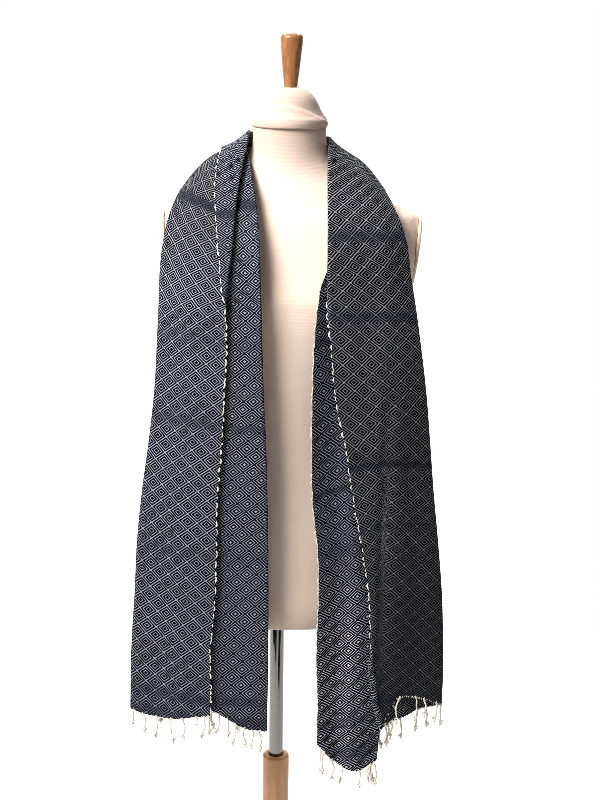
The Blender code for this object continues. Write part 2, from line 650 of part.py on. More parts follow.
def pole(collection, parent, material):
    """The chrome pole, from the foot of the column's bore into the torso's socket."""
    top = SOCKET_TOP - RUNNING_GAP
    chamfer = 0.001
    profile = [(0.0, top), (POLE_RADIUS - chamfer, top), (POLE_RADIUS, top - chamfer),
               (POLE_RADIUS, POLE_FOOT + chamfer), (POLE_RADIUS - chamfer, POLE_FOOT),
               (0.0, POLE_FOOT)]
    turned("pole", profile, (0, 0, 0), collection, parent, material, 24)


def build():
    clear_scene()
    collection = make_collection("krama_scarf_on_form")
    cutters = make_collection("cutters")
    parent = bpy.data.objects.new("place", None)
    collection.objects.link(parent)
    parent.location = (AXIS_X, AXIS_Y, 0)

    navy = make_material("navy_cotton", NAVY, 0.85)
    cream = make_material("cream_cotton", CREAM, 0.90)
    jersey = make_material("cream_jersey", JERSEY, 0.80)
    beech = make_material("beech", BEECH, 0.45)
    varnished = make_material("varnished_wood", VARNISHED, 0.30)
    chrome = make_material("chrome", CHROME, 0.08, 1.0)

    column(collection, parent, beech)
    legs((collection, cutters), parent, beech)
    pole(collection, parent, chrome)
    torso(collection, parent, jersey)
    armhole_plates(collection, parent, jersey)
    cap_and_finial(collection, parent, jersey, varnished)

    rows, left_end, right_start = band_stretches()
    left = band_grid(rows[:left_end + 2], LEFT_HEM, hem_first=True)[:left_end + 1]
    neck = band_grid(rows)[left_end:right_start + 1]
    right = band_grid(rows[right_start - 1:], RIGHT_HEM, hem_first=False)[1:]
    cloth_wall("scarf_left_front", trimmed(left, False, True), collection, parent, navy)
    cloth_wall("scarf_neck", trimmed(neck, True, True), collection, parent, navy)
    cloth_wall("scarf_right_front", trimmed(right, True, False), collection, parent, navy)
    places = (collection, cutters)
    fringe("fringe_left", left[0], left[1], LEFT_FRINGE, 11, places, parent, cream)
    fringe("fringe_right", right[-1], right[-2], RIGHT_FRINGE, 47, places, parent, cream)


build()
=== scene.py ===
import random
from math import atan, copysign, cos, degrees, exp, pi, radians, sin

import bmesh
import bpy
import numpy as np
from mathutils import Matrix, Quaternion, Vector


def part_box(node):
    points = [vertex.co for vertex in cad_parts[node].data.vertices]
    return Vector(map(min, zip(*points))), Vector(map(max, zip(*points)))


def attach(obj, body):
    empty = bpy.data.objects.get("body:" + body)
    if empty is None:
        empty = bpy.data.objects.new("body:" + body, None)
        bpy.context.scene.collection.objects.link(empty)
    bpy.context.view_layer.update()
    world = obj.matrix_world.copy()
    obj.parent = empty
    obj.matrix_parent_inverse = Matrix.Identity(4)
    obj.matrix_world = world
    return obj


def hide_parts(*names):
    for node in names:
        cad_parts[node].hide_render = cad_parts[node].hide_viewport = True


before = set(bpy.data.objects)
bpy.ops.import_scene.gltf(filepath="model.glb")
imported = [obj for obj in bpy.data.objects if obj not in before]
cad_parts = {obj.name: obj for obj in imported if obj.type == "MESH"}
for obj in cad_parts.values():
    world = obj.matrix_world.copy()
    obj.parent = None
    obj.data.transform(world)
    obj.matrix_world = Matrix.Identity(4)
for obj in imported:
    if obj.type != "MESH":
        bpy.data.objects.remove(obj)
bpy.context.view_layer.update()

MM = 0.001
TURN = 2 * pi

# Place of the pole's axis in the part's frame
AXIS_X = -0.0120
AXIS_Y = -0.0520
AXIS = np.array((AXIS_X, AXIS_Y, 0.0))

# Cloth: thickness, gap between folded layers, length round a full fold, share of it that a
# slight fold keeps, least run past a fold, where the last layer's swing fades out across the
# cloth, size of one repeat of the weave, yarns to a repeat, flat size
CLOTH = 0.0012
LAYER = 0.0038
FOLD_LENGTH = pi * LAYER / 2
FOLD_LEAST = 0.35
RUN_LEAST = 0.0015
SWING_START = 0.036
SWING_END = 0.056
REPEAT = 0.0300
YARNS = 40.0
FLAT_WIDTH = 0.46

# Points across the cloth: flap, each sharp fold, front layer, outer fold, back layer, hidden
# layer, last layer; FINER cuts each row's steps along the cloth once more
POINTS_FLAP = 10
POINTS_FOLD = 6
POINTS_FRONT = 34
POINTS_OUTER = 10
POINTS_BACK = 18
POINTS_HIDDEN = 8
POINTS_LAST = 12
FRONT_START = POINTS_FLAP + POINTS_FOLD
FRONT_END = FRONT_START + POINTS_FRONT
FINER = 6


def numbers(text, columns):
    """A table of numbers that is written as text, in rows of so many columns."""
    return np.array(text.split(), dtype=float).reshape(-1, columns)


# Band of folded cloth, a row for each section from the left hem over the neck to the right hem.
# Columns: the front line's inner end and outer end; the front edge as a share of the width, the
# flap turned there and its angle; the hidden folds with their angles and the last edge, as shares
# of the width; the outer fold's depth, the bulge, the ripples and the swing of the last layer; the
# rows to the next one. Metres and degrees; flap, depth, bulge, ripples and swing in millimetres.
LEFT_ROWS = numbers("""
-.0155 -.15 .565 -.225 -.09 .565 .391 2 0 0 180 .45 0 .62 10 4 0 0 1
-.0151 -.151 .62 -.2239 -.09 .62 .394 2 0 0 180 .45 0 .62 10 4 0 0 1
-.0149 -.152 .68 -.2219 -.09 .68 .398 2 0 0 180 .45 0 .62 10 5 0 0 1
-.0153 -.153 .76 -.2167 -.09 .76 .375 2 0 0 180 .45 0 .64 10 6 0 0 1
-.0163 -.154 .84 -.2127 -.09 .84 .367 2 0 0 180 .45 0 .68 10 6 0 0 1
-.0182 -.155 .92 -.2045 -.089 .92 .37 2 0 0 180 .45 0 .72 9.5 7 0 0 2
-.0211 -.156 1 -.1937 -.088 1 .347 2 0 0 180 .45 0 .78 9.5 7 0 0 2
-.0254 -.157 1.08 -.1849 -.087 1.08 .324 2 0 0 180 .45 0 .84 9 8 0 0 2
-.0281 -.157 1.15 -.1811 -.085 1.15 .296 3 0 0 180 .45 0 .86 8.5 9 0 0 2
-.0299 -.156 1.205 -.1787 -.081 1.205 .29 3 -60 0 180 .45 0 .86 8.5 10 .4 0 2
-.0318 -.151 1.25 -.1777 -.075 1.248 .266 8 -175 0 180 .45 0 .84 8.5 10 .8 0 2
-.033 -.138 1.297 -.1745 -.067 1.287 .235 18 -180 0 180 .42 0 .78 8 9 1.2 0 2
-.0342 -.116 1.342 -.169 -.055 1.32 .222 25 -180 .02 180 .4 0 .72 8 8 1.4 0 2
-.037 -.086 1.388 -.161 -.038 1.345 .18 33 -180 .06 180 .38 0 .68 8.5 9 1.4 0 2
-.0425 -.046 1.428 -.155 -.014 1.358 .09 40 -180 .1 180 .36 0 .64 9.5 10 1.4 0 2
-.0467 -.004 1.4505 -.1522 .008 1.361 0 45 -180 .14 180 .34 0 .6 10.5 10 1.6 0 1
""", 19)
NECK_ROWS = numbers("""
-.0462 .022 1.448 -.147 .034 1.356 0 40 -180 .14 180 .33 0 .54 10 8 2.2 0 2
-.0375 .046 1.4475 -.124 .073 1.348 .01 28 -180 .14 180 .26 0 .36 9.8 7 3 0 3
-.015 .066 1.4465 -.072 .105 1.34 .02 14 -180 .12 180 .16 0 .19 9.8 6 3.6 0 3
.0115 .074 1.445 .0115 .116 1.337 .04 5 -40 .1 0 .115 0 .13 10.5 6 4 0 3
.039 .069 1.445 .095 .105 1.342 .03 2 150 .11 -180 .15 60 .17 12.5 6 3.6 0 3
.0625 .049 1.444 .142 .074 1.351 .01 8 180 .15 -180 .36 180 .3 13.8 6 2.8 0 2
.0715 .023 1.444 .1545 .034 1.36 0 14 180 .18 -180 .54 180 .4 13.8 6 1.8 0 1
""", 19)
RIGHT_ROWS = numbers("""
.0715 -.002 1.442 .1562 .008 1.3655 0 18 180 .2 -180 .6 180 .44 13.5 7 1.2 0 2
.07 -.044 1.423 .16 -.02 1.361 0 18 180 .18 -180 .62 180 .42 13.5 7 1 0 2
.0694 -.086 1.386 .168 -.049 1.349 0 17 180 .16 -180 .62 180 .38 14.5 6 .8 0 2
.0696 -.1175 1.342 .1785 -.069 1.327 0 15 180 .18 -180 .62 180 .3 15.2 5 .6 0 2
.07 -.139 1.297 .1885 -.078 1.294 0 10 180 .28 -180 .62 180 .12 15.2 5 .4 0 2
.0625 -.152 1.25 .1945 -.084 1.249 .06 4 175 .38 -180 .64 180 .02 15.4 6 .3 3 2
.0599 -.157 1.205 .202 -.088 1.205 .082 3 60 .42 -180 .66 180 0 15.6 6 0 7 2
.0573 -.159 1.15 .2105 -.09 1.15 .121 2 0 .42 -180 .66 180 0 15.8 6 0 10 2
.0564 -.16 1.08 .2204 -.089 1.08 .164 2 0 .42 -180 .66 180 0 15.8 6 0 12 2
.0569 -.16 1 .2285 -.09 1 .247 2 0 .42 -180 .64 180 0 15.8 6 0 14 2
.0598 -.16 .92 .2361 -.091 .92 .297 2 0 .42 -180 .62 180 0 15.8 6 0 16 2
.0687 -.16 .84 .2452 -.092 .84 .333 2 0 .4 -180 .6 180 0 16.2 6 0 16 2
.0705 -.1595 .76 .2532 -.092 .76 .375 2 10 .38 -180 .58 180 0 17.2 5 0 16 2
.0682 -.159 .68 .2572 -.092 .68 .398 3 120 .36 -180 .54 180 0 18 4 0 16 2
.0643 -.158 .62 .2585 -.092 .62 .438 12 176 .34 -180 .5 180 .03 17.2 3 0 16 2
.0635 -.157 .55 .2585 -.092 .55 .5 26 180 .32 -180 .462 180 .03 16.5 2 0 16 1
""", 19)

# Hems: level distance across the cloth from its front edge, height
LEFT_HEM = numbers("""
0 .578  .029 .572  .054 .567  .078 .564  .103 .565  .128 .57  .143 .574  .196 .58  .249 .585
.27 .587  .302 .566  .33 .557  .354 .557  .361 .562  .393 .576  .43 .583  .5 .588
""", 2)
RIGHT_HEM = numbers("""
0 .572  .026 .564  .03 .562  .032 .571  .0505 .607  .069 .608  .088 .603  .106 .596  .125 .586
.137 .579  .15 .577  .182 .574  .215 .563  .247 .549  .28 .527  .286 .518  .305 .512  .321 .507
.339 .492  .356 .49  .377 .495  .396 .507  .405 .519  .414 .538
""", 2)
HEM_REACH = 0.22

# Fringe strands: level distance across the cloth, length, sideways reach, bend
LEFT_FRINGE = numbers("""
.003 .03 .001 .001  .01 .036 -.003 .003  .022 .018 0 .001  .044 .034 .002 .002
.062 .038 .003 -.003  .089 .036 -.002 .003  .111 .032 .002 .002  .126 .026 -.002 -.001
.19 .03 .001 .001  .274 .03 .003 -.002  .285 .034 -.002 .003  .299 .03 .002 .001
.312 .036 -.003 .002  .327 .032 .003 -.003  .339 .03 -.001 .002  .351 .034 .001 .001
.41 .028 .001 .001
""", 4)
RIGHT_FRINGE = numbers("""
.01 .03 -.002 .001  .022 .034 .003 .002  .06 .042 -.005 -.004  .086 .04 .001 .003
.1 .03 .002 .002  .122 .032 -.002 .003  .134 .034 .001 -.002  .165 .034 .002 .001
.18 .036 -.002 .002  .211 .034 .003 .002  .228 .036 -.003 .002  .243 .03 .002 -.002
.316 .042 -.002 -.003  .326 .04 .003 .003  .35 .028 .001 .002  .378 .028 -.003 .002
.395 .036 .002 .003  .408 .036 -.002 -.002
""", 4)
# Loose bunches of warp ends: level distance across the cloth, length, spread, number of ends
LEFT_BUNCHES = ((.270, .016, .0025, 7), (.352, .020, .0030, 8))
RIGHT_BUNCHES = ((.060, .009, .0020, 4), (.331, .034, .0062, 34), (.414, .052, .0014, 4))

# The curl of the right front's inner edge above the hem
ROLL_TOP = 0.705
ROLL_RUN = 0.060
ROLL_LEAST = 0.0010
ROLL_RADIUS = 0.0046
ROLL_TURN = 400
ROLL_POINTS = 22

# Valleys and ridges pressed or hung into the front layers: x and z of both ends
# from the pole's axis, depth (below zero a valley) and half width in millimetres
RIGHT_CREASES = numbers("""
.1612 1.077 .1596 .93 -3 7
.1596 .96 .1552 .605 -4.6 7
.18 1.06 .176 .64 1.3 11
.106 .99 .158 .9735 -4 8
.158 .9735 .23 .9595 -3.2 8
.106 1.008 .158 .992 1.8 8
.13 1.33 .142 1.15 -1.5 16
.095 1.25 .115 1.06 1.2 14
.208 .9 .218 .64 -1.2 12
""", 6)
LEFT_CREASES = numbers("""
-.198 1.041 -.082 1.034 -1 5
-.156 1.24 -.17 .86 -1.6 15
-.115 1.23 -.125 .9 1.3 17
-.172 .84 -.18 .6 -1.5 13
-.13 .82 -.133 .61 1.2 14
""", 6)

# Torso, a row for each level: height, middle, half width, depth before and behind, squareness
TORSO_ROWS = numbers("""
.703 0 .154 .1 .112 2.2
.716 .0003 .161 .105 .119 2.2
.78 .0014 .169 .108 .124 2.2
.85 .0028 .167 .108 .118 2.2
.92 .0045 .149 .107 .1 2.2
.98 .006 .13 .108 .084 2.2
1.03 .0076 .121 .11 .078 2.2
1.09 .0096 .128 .113 .082 2.2
1.15 .012 .142 .116 .089 2.2
1.195 .0138 .155 .118 .095 2.2
1.212 .0155 .17 .118 .096 2.2
1.232 .0155 .194 .114 .097 2.2
1.262 .0155 .203 .106 .098 2.2
1.292 .0155 .202 .097 .096 2.2
1.318 .0155 .196 .088 .09 2.2
1.334 .0155 .184 .08 .084 2.1
1.346 .015 .152 .073 .079 2
1.358 .0141 .129 .068 .074 2
1.372 .0135 .108 .063 .069 2
1.388 .0128 .088 .058 .064 2
1.404 .0121 .071 .055 .06 2
1.42 .0116 .0605 .053 .0575 2
1.438 .0115 .056 .0515 .056 2
1.46 .0115 .055 .051 .055 2
""", 6)

# Neck cap and finial: radius and height, from the axis down the outer side
CAP_PROFILE = numbers("""
0 .0588  .011 .0586  .02 .057  .0275 .0534  .0335 .0482  .0385 .0415  .0425 .0335  .0462 .026
.0515 .0185  .0555 .014  .057 .0105  .057 .0045  .056 .0015  .0545 .0003  0 .0003
""", 2)
FINIAL_PROFILE = numbers("""
0 .079  .008 .0788  .014 .0772  .0166 .0735  .0168 .068  .0152 .05  .0128 .025  .0106 .006  .01 0
0 0
""", 2)

# Width of cloth turned under the right front's edge beyond what the solid has, against height
TURNED_TOP = numbers("1.225 0  1.26 .006  1.3 .018  1.345 .03  1.4 .037  1.445 .038", 2)
TURNED_HEM = numbers(".52 .01  .6 .006  .68 0", 2)
# Size of a repeat along the cloth, on the left low down and at the top, on the right, at the neck
LEFT_TALL = 0.0260
LEFT_TALL_TOP = 0.0232
LEFT_TALL_RUN = 0.75
RIGHT_TALL = 0.0242
NECK_TALL = 0.0240
# Heights and places across the cloth where the weft is laid square to the cloth's own lines
SQUARE_LOW = 0.640
SQUARE_HIGH = 1.220
SQUARE_INNER = 0.03
SQUARE_OUTER = 0.16
SAMPLE_STEP = 0.004

# How far the loose weave is pulled askew: the weft's rise in repeats for each repeat across.
# Columns: height, the rise in the front layer inside and outside its middle or the tuck, and the
# rise in the layers behind the outer fold
LEFT_SKEW = numbers("""
.6 0 0 -.18
1.16 0 0 -.18
1.26 -.1 -.1 -.18
1.38 -.3 -.3 -.18
1.46 -.32 -.32 -.18
""", 4)
RIGHT_SKEW = numbers("""
.6 -.1 -.22 -.2
.72 -.04 -.26 -.2
.94 -.02 -.29 -.2
1.01 -.16 -.25 -.2
1.19 -.21 -.21 -.2
1.4 -.21 -.21 -.2
""", 4)
SKEW_MIDDLE = 3.4
SKEW_BEHIND = 5.5
# The tuck down the right front: its heights and x in metres, the cloth that it takes in against
# the place along the cloth, in repeats, and where behind the fold that cloth is let out again
TUCK_LINE = ((.600, .930, 1.077), (.1552, .1598, .1612))
TUCK_TAKES = ((70.4, 72.0, 81.5, 85.0, 92.0), (.00, .22, 2.45, 2.90, 3.00))
TUCK_HALF = 0.0032
TUCK_LET_OUT = (4.1, 4.9)


def smooth_step(value, low, high):
    share = np.clip((value - low) / (high - low), 0.0, 1.0)
    return share * share * (3 - 2 * share)


def vector(*values):
    return np.array(values)


def unit(vectors):
    return vectors / np.linalg.norm(vectors, axis=-1, keepdims=True)


def distances(line):
    """Distance of each point of a line from its start."""
    return np.concatenate(([0.0], np.cumsum(np.linalg.norm(np.diff(line, axis=0), axis=1))))


def smooth_between(values, steps, distance):
    """Cubic Hermite rows through the given ones, with each gap cut into its number of steps."""
    tangents = np.gradient(values, distance, axis=0)
    rows = []
    for index, count in enumerate(steps):
        length = distance[index + 1] - distance[index]
        for step in range(count):
            t = step / count
            rows.append(
                (2 * t**3 - 3 * t**2 + 1) * values[index]
                + (t**3 - 2 * t**2 + t) * length * tangents[index]
                + (3 * t**2 - 2 * t**3) * values[index + 1]
                + (t**3 - t**2) * length * tangents[index + 1])
    rows.append(values[-1])
    return np.array(rows)


def middles(rows):
    return (rows[:, 0:3] + rows[:, 3:6]) / 2


def walk(start, heading, turn, length, count):
    """A fold that turns by an angle, then a straight run, as points in a section."""
    points = []
    s, h = start
    angle = radians(heading)
    share = FOLD_LEAST + (1 - FOLD_LEAST) * min(1.0, abs(turn) / 180)
    bent = (radians(turn) / POINTS_FOLD, FOLD_LENGTH * share / POINTS_FOLD)
    for bend, step in [bent] * POINTS_FOLD + [(0.0, length / count)] * count:
        angle += bend / 2
        s += step * cos(angle)
        h += step * sin(angle)
        angle += bend / 2
        points.append((s, h))
    return points, degrees(angle)


def swells(s, t, low):
    """Soft uneven swells that every layer of the band follows together."""
    first = sin(TURN * (s / 0.121 + 0.20 * sin(TURN * t / 0.63) + 0.15))
    second = sin(TURN * (s / 0.067 - t / 0.91 + 0.4))
    third = sin(TURN * (t / 0.143 + 0.5 * s / 0.2 + 0.3))
    loose = 1.0 + 1.6 * low
    return MM * loose * (0.55 * (1 + first) + 0.30 * (1 + second) + 0.22 * (1 + third))


def section(row, t, low):
    """One section of the folded band: points along and above the line from inner to outer."""
    inner, outer = row[0:3], row[3:6]
    edge, flap, turn, fold, side, second, back, end, loft, high, folds, sway = row[6:]
    width = float(np.linalg.norm(outer - inner))
    loft *= MM
    radius = loft / 2

    def bulge(s):
        share = min(1.0, max(0.0, s / width))
        ripple = folds * MM * sin(3.0 * pi * share)
        return (high * MM * sin(pi * share**1.6) - ripple
                + swells(s, t, low) * sin(pi * min(1.0, share * 0.9 + 0.08)))

    # Between its rows the smoothed table can pass a straight or a fully turned fold a little
    turn, side = [max(-180.0, min(180.0, angle)) for angle in (turn, side)]
    back = max(0.0, min(180.0, back))
    lapel, _ = walk((0.0, 0.0), 180, turn, flap * MM, POINTS_FLAP)
    start = edge * width - min(s for s, _ in lapel)
    points = [(start + s, h + bulge(start + s)) for s, h in reversed(lapel)]
    last = width - radius
    for index in range(POINTS_FRONT):
        s = start + (last - start) * index / (POINTS_FRONT - 1)
        points.append((s, bulge(s)))
    for index in range(1, POINTS_OUTER):
        angle = pi * index / POINTS_OUTER
        points.append((last + radius * sin(angle),
                       bulge(last) - radius * (1 - cos(angle))))
    inside = fold * width + LAYER / 2
    for index in range(POINTS_BACK):
        s = last + (inside - last) * index / (POINTS_BACK - 1)
        points.append((s, bulge(s) - loft))
    run = max(RUN_LEAST, (second - fold) * width)
    hidden, heading = walk((inside, -loft), 180, side, run, POINTS_HIDDEN)
    run = max(RUN_LEAST, abs(second - end) * width)
    rest, _ = walk(hidden[-1], heading, back, run, POINTS_LAST)
    points += [(s, h + bulge(s)) for s, h in hidden]
    swing = [sway * MM * (1 - smooth_step(s, SWING_START, SWING_END)) for s, _ in rest]
    points += [(s, h + bulge(s) - away) for (s, h), away in zip(rest, swing)]
    return inner, outer, width, points


def set_hem(grid, hem, end):
    """Moves the hem row to its own heights, and the rows above it by less and less."""
    line = grid[end]
    wanted = np.interp(distances(line[:, 0:2]), *hem.T)
    soft = np.convolve(np.pad(wanted, 2, mode="edge"), (0.1, 0.2, 0.4, 0.2, 0.1), mode="valid")
    shift = soft - line[:, 2]
    base = line[:, 2].mean()
    for row in grid:
        share = np.clip((row[:, 2].mean() - base) / HEM_REACH, 0.0, 1.0)
        row[:, 2] += shift * (1 - share) ** 2


def band_grid():
    """Points of the cloth's middle surface, the line's normal for each row, the distance across
    the cloth of each point, and the rows where the left stretch ends and the right one starts."""
    band = np.vstack((LEFT_ROWS, NECK_ROWS, RIGHT_ROWS))
    steps = band[:-1, -1].astype(int) * FINER
    left_end = steps[:len(LEFT_ROWS) - 1].sum()
    right_start = steps[:len(LEFT_ROWS) + len(NECK_ROWS)].sum()
    rows = smooth_between(band[:, :-1], steps, distances(middles(band)))
    line = middles(rows)
    grid = []
    normals = []
    for row, tangent, t in zip(rows, np.gradient(line, axis=0), distances(line)):
        low = float(1 - smooth_step(row[2], 0.60, 0.76))
        inner, outer, width, points = section(row, t, low)
        across = (outer - inner) / width
        normal = unit(np.cross(tangent, across))
        normals.append(normal)
        grid.append([inner + across * s + normal * h for s, h in points])
    grid = np.array(grid)
    u = np.array([distances(points) for points in grid])
    set_hem(grid[:left_end], LEFT_HEM, 0)
    set_hem(grid[right_start:], RIGHT_HEM, -1)
    return grid, np.array(normals), u, left_end, right_start


def add_creases(grid, normals, creases):
    """Presses the listed valleys and ridges into the front layer of one stretch."""
    place = np.linspace(0.0, 1.0, POINTS_FRONT)
    fade = smooth_step(place, 0.0, 0.10) * (1 - smooth_step(place, 0.90, 1.0))
    points = grid[:, FRONT_START:FRONT_END]
    x, z = points[..., 0], points[..., 2]
    for x_1, z_1, x_2, z_2, depth, half in creases:
        line = vector(x_2 - x_1, z_2 - z_1)
        length = np.linalg.norm(line)
        line /= length
        share = ((x - x_1) * line[0] + (z - z_1) * line[1]) / length
        off = (x - x_1) * line[1] - (z - z_1) * line[0]
        wander = 0.0016 * np.sin(share * length / 0.031 + x_1 * 90)
        profile = np.exp(-((off + wander) / (half * MM)) ** 2)
        ends = smooth_step(share, -0.06, 0.10) * (1 - smooth_step(share, 0.90, 1.06))
        lift = depth * MM * profile * ends * fade[None, :]
        points += lift[..., None] * normals[:, None, :]


def edge_ripples(grid, normals, u):
    """The free edges and the hems wave a little, as loosely woven cloth does."""
    along = distances(grid[:, FRONT_START])[:, None]
    ends = ((u, 0.0), (u[:, -1:] - u, 1.7)), ((along, 0.4), (along[-1] - along, 2.2))
    sizes = ((along, 0.0009, 0.007, 0.034, 1.3, 0.21), (u, 0.0016, 0.035, 0.052, 0.8, 0.17))
    for sides, (place, height, fade, length, drift, slow) in zip(ends, sizes):
        for away, start in sides:
            near = np.exp(-away / fade)
            wave = np.sin(TURN * place / length + drift * np.sin(TURN * place / slow) + start)
            grid += (height * near * wave)[..., None] * normals[:, None, :]


def curve_lines(grid, across, samples):
    """Points of the lines that stay at one distance across the cloth, and their lengths."""
    lines = np.array([[np.interp(samples, places, points[:, axis]) for axis in range(3)]
                      for points, places in zip(grid, across)]).transpose(0, 2, 1)
    steps = np.linalg.norm(np.diff(lines, axis=0), axis=2)
    return lines, np.cumsum(np.vstack((np.zeros(len(samples)), steps)), axis=0)


def square_offsets(lines, lengths, rows):
    """What each line's length needs so that the weft lies as square to the lines as it can."""
    heading = unit(np.gradient(lines, axis=0))
    steps = np.diff(lines[rows], axis=1)
    lean = np.sum(steps * (heading[rows, 1:] + heading[rows, :-1]) / 2, axis=2)
    wanted = (lean - np.diff(lengths[rows], axis=1)).mean(axis=0)
    return np.concatenate(([0.0], np.cumsum(wanted)))


def skew(across, height, rows, fold, middle):
    """What the pull askew adds along the cloth at each point, in repeats."""
    inner, outer, behind = [np.interp(height, rows[:, 0], rise) for rise in rows.T[1:]]
    past = np.maximum(0.0, across - fold)
    past -= SKEW_BEHIND * smooth_step(past, 0.0, SKEW_BEHIND)
    before = np.maximum(across[:, FRONT_START, None], np.minimum(across, fold)) - middle
    return inner * np.minimum(before, 0) + outer * np.maximum(before, 0) + behind * past


def weave_places(grid, u, left_end, right_start):
    """The cloth's own coordinates at each point, in repeats of the weave: across and along."""
    number = np.arange(len(grid))[:, None]
    past_left = (number - left_end) / (right_start - left_end)
    hangs_right = number >= right_start
    height = grid[:, FRONT_START, 2, None]
    turned = np.interp(height, *TURNED_TOP.T) + np.interp(height, *TURNED_HEM.T)
    round_neck = turned[right_start] * smooth_step(past_left, 0.3, 1.0)
    across = u + np.where(hangs_right, turned, round_neck)
    samples = np.arange(0.0, FLAT_WIDTH + 0.05, SAMPLE_STEP)
    lines, lengths = curve_lines(grid, across, samples)
    chosen = (samples > SQUARE_INNER) & (samples < SQUARE_OUTER)
    hanging = np.flatnonzero((height > SQUARE_LOW) & (height < SQUARE_HIGH))
    left_rows, right_rows = hanging[hanging < left_end], hanging[hanging > right_start]

    # Left stretch, whose repeats grow shorter upwards
    offsets = square_offsets(lines, lengths, left_rows)
    left = lengths[:left_end + 1] + offsets - offsets[chosen].mean()
    grow = (LEFT_TALL_TOP - LEFT_TALL) / LEFT_TALL_RUN
    left = np.log(1 + grow * left / LEFT_TALL) / grow

    # Right stretch, which starts where the count round the neck has come to
    lengths_right = lengths - lengths[right_rows[0]]
    offsets = square_offsets(lines, lengths_right, right_rows)
    right = (lengths_right[right_start:] + offsets - offsets[chosen].mean()) / RIGHT_TALL
    neck = lengths[left_end:right_start + 1] - lengths[left_end]
    gap = neck[-1][chosen].mean() / NECK_TALL
    right += left[-1][chosen].mean() + gap - right[0][chosen].mean()
    share = (neck / neck[-1]).mean(axis=1)[1:-1, None]
    phase = np.vstack((left, left[-1] + (right[0] - left[-1]) * share, right))
    along = np.array([np.interp(places, samples, row) for places, row in zip(across, phase)])

    # The pull askew, which turns about the tuck on the right
    across = across / REPEAT
    fold = across[:, FRONT_END, None]
    front = slice(FRONT_START, FRONT_END)
    tuck_x = np.interp(height, *TUCK_LINE)
    tuck = np.array([np.interp(x, row[front, 0], places[front])
                     for x, row, places in zip(tuck_x, grid, across)])
    middle = tuck + (SKEW_MIDDLE - tuck) * smooth_step(height, 1.05, 1.16)
    middle = np.where(hangs_right, middle, SKEW_MIDDLE)
    along += ((1 - smooth_step(past_left, 0.0, 0.5))
              * skew(across, height, LEFT_SKEW, fold, SKEW_MIDDLE))
    along += (smooth_step(past_left, 0.5, 1.0)
              * skew(across, height, RIGHT_SKEW, fold, middle))

    # The cloth that the tuck takes in
    past_tuck = smooth_step(grid[:, :, 0] - tuck_x, -TUCK_HALF, TUCK_HALF)
    past_tuck[:, :FRONT_START] = past_tuck[:, FRONT_START, None]
    past_tuck[:, FRONT_END:] = 1.0
    past_fold = smooth_step(across - fold, *TUCK_LET_OUT)
    taken = np.interp(along, *TUCK_TAKES) * past_tuck * (1 - past_fold)
    return across + np.where(hangs_right, taken, 0.0), along


def new_object(name, mesh, materials, sharp=50):
    item = bpy.data.objects.new(name, mesh)
    bpy.context.scene.collection.objects.link(item)
    for material in materials:
        mesh.materials.append(material)
    mesh.shade_smooth()
    mesh.set_sharp_from_angle(angle=radians(sharp))
    return item


def mesh_from(name, points, faces, materials, sharp=50):
    mesh = bpy.data.meshes.new(name)
    mesh.from_pydata([tuple(point) for point in points], [], faces)
    return new_object(name, mesh, materials, sharp)


def surface_normals(grid):
    return unit(np.cross(np.gradient(grid, axis=0), np.gradient(grid, axis=1)))


def krama_cloth(name, grid, across, along, materials):
    """Cloth as one thin closed shell: face A on the outside of the front layers, face B
    behind, and a narrow rim round all four edges."""
    rows, columns = grid.shape[:2]
    normals = surface_normals(grid)
    points = np.vstack([(grid + normals * half).reshape(-1, 3) + AXIS
                        for half in (CLOTH / 2, -CLOTH / 2)])
    index = np.arange(rows * columns).reshape(rows, columns)
    corners = (index[:-1, :-1], index[1:, :-1], index[1:, 1:], index[:-1, 1:])
    face_a = np.stack([corner.ravel() for corner in corners], axis=1)
    face_b = face_a[:, ::-1] + rows * columns
    rims = []
    for line in (index[0], index[:, -1], index[-1, ::-1], index[::-1, 0]):
        under = line + rows * columns
        rims.append(np.stack((line[:-1], line[1:], under[1:], under[:-1]), axis=1))
    faces = np.vstack([face_a, face_b] + rims)
    item = mesh_from(name, points.tolist(), faces.tolist(), materials, 70)
    mesh = item.data
    slots = np.zeros(len(faces), dtype=np.int32)
    slots[len(face_a):2 * len(face_a)] = 1
    mesh.polygons.foreach_set("material_index", slots)
    places = np.tile(np.stack((across.ravel(), along.ravel()), axis=1), (2, 1))
    corner_points = np.zeros(len(mesh.loops), dtype=np.int32)
    mesh.loops.foreach_get("vertex_index", corner_points)
    layer = mesh.uv_layers.new(name="weave")
    layer.data.foreach_set("uv", places[corner_points].astype(np.float32).ravel())
    return item


def rolled_edge(grid, along, right_start, materials):
    """The right front's inner edge, curled on itself above the hem."""
    line = grid[right_start:, FRONT_START - POINTS_FOLD // 2]
    keep = line[:, 2] < ROLL_TOP
    line, places = line[keep], along[right_start:, FRONT_START][keep]
    share = smooth_step(ROLL_TOP - line[:, 2], 0.0, ROLL_RUN)
    radius = ROLL_LEAST + (ROLL_RADIUS - ROLL_LEAST) * share
    centre = line + radius[:, None] * vector(-0.60, -0.95, 0.0)
    centre[:, 0] += 0.0008 * np.sin(line[:, 2] / 0.009)
    turn = np.radians(np.linspace(-20, -20 - ROLL_TURN, ROLL_POINTS))
    shrink = np.linspace(1.0, 0.45, ROLL_POINTS)[:, None]
    around = np.stack((np.cos(turn), np.sin(turn), np.zeros(ROLL_POINTS)), axis=1) * shrink
    points = centre[:, None, :] + radius[:, None, None] * around[None, :, :]
    across = np.linspace(0.0, 1.0, ROLL_POINTS)[None, :] * np.ones((len(line), 1))
    return krama_cloth("krama_rolled_edge", points, across, places[:, None] + 0.5 * across,
                       materials)


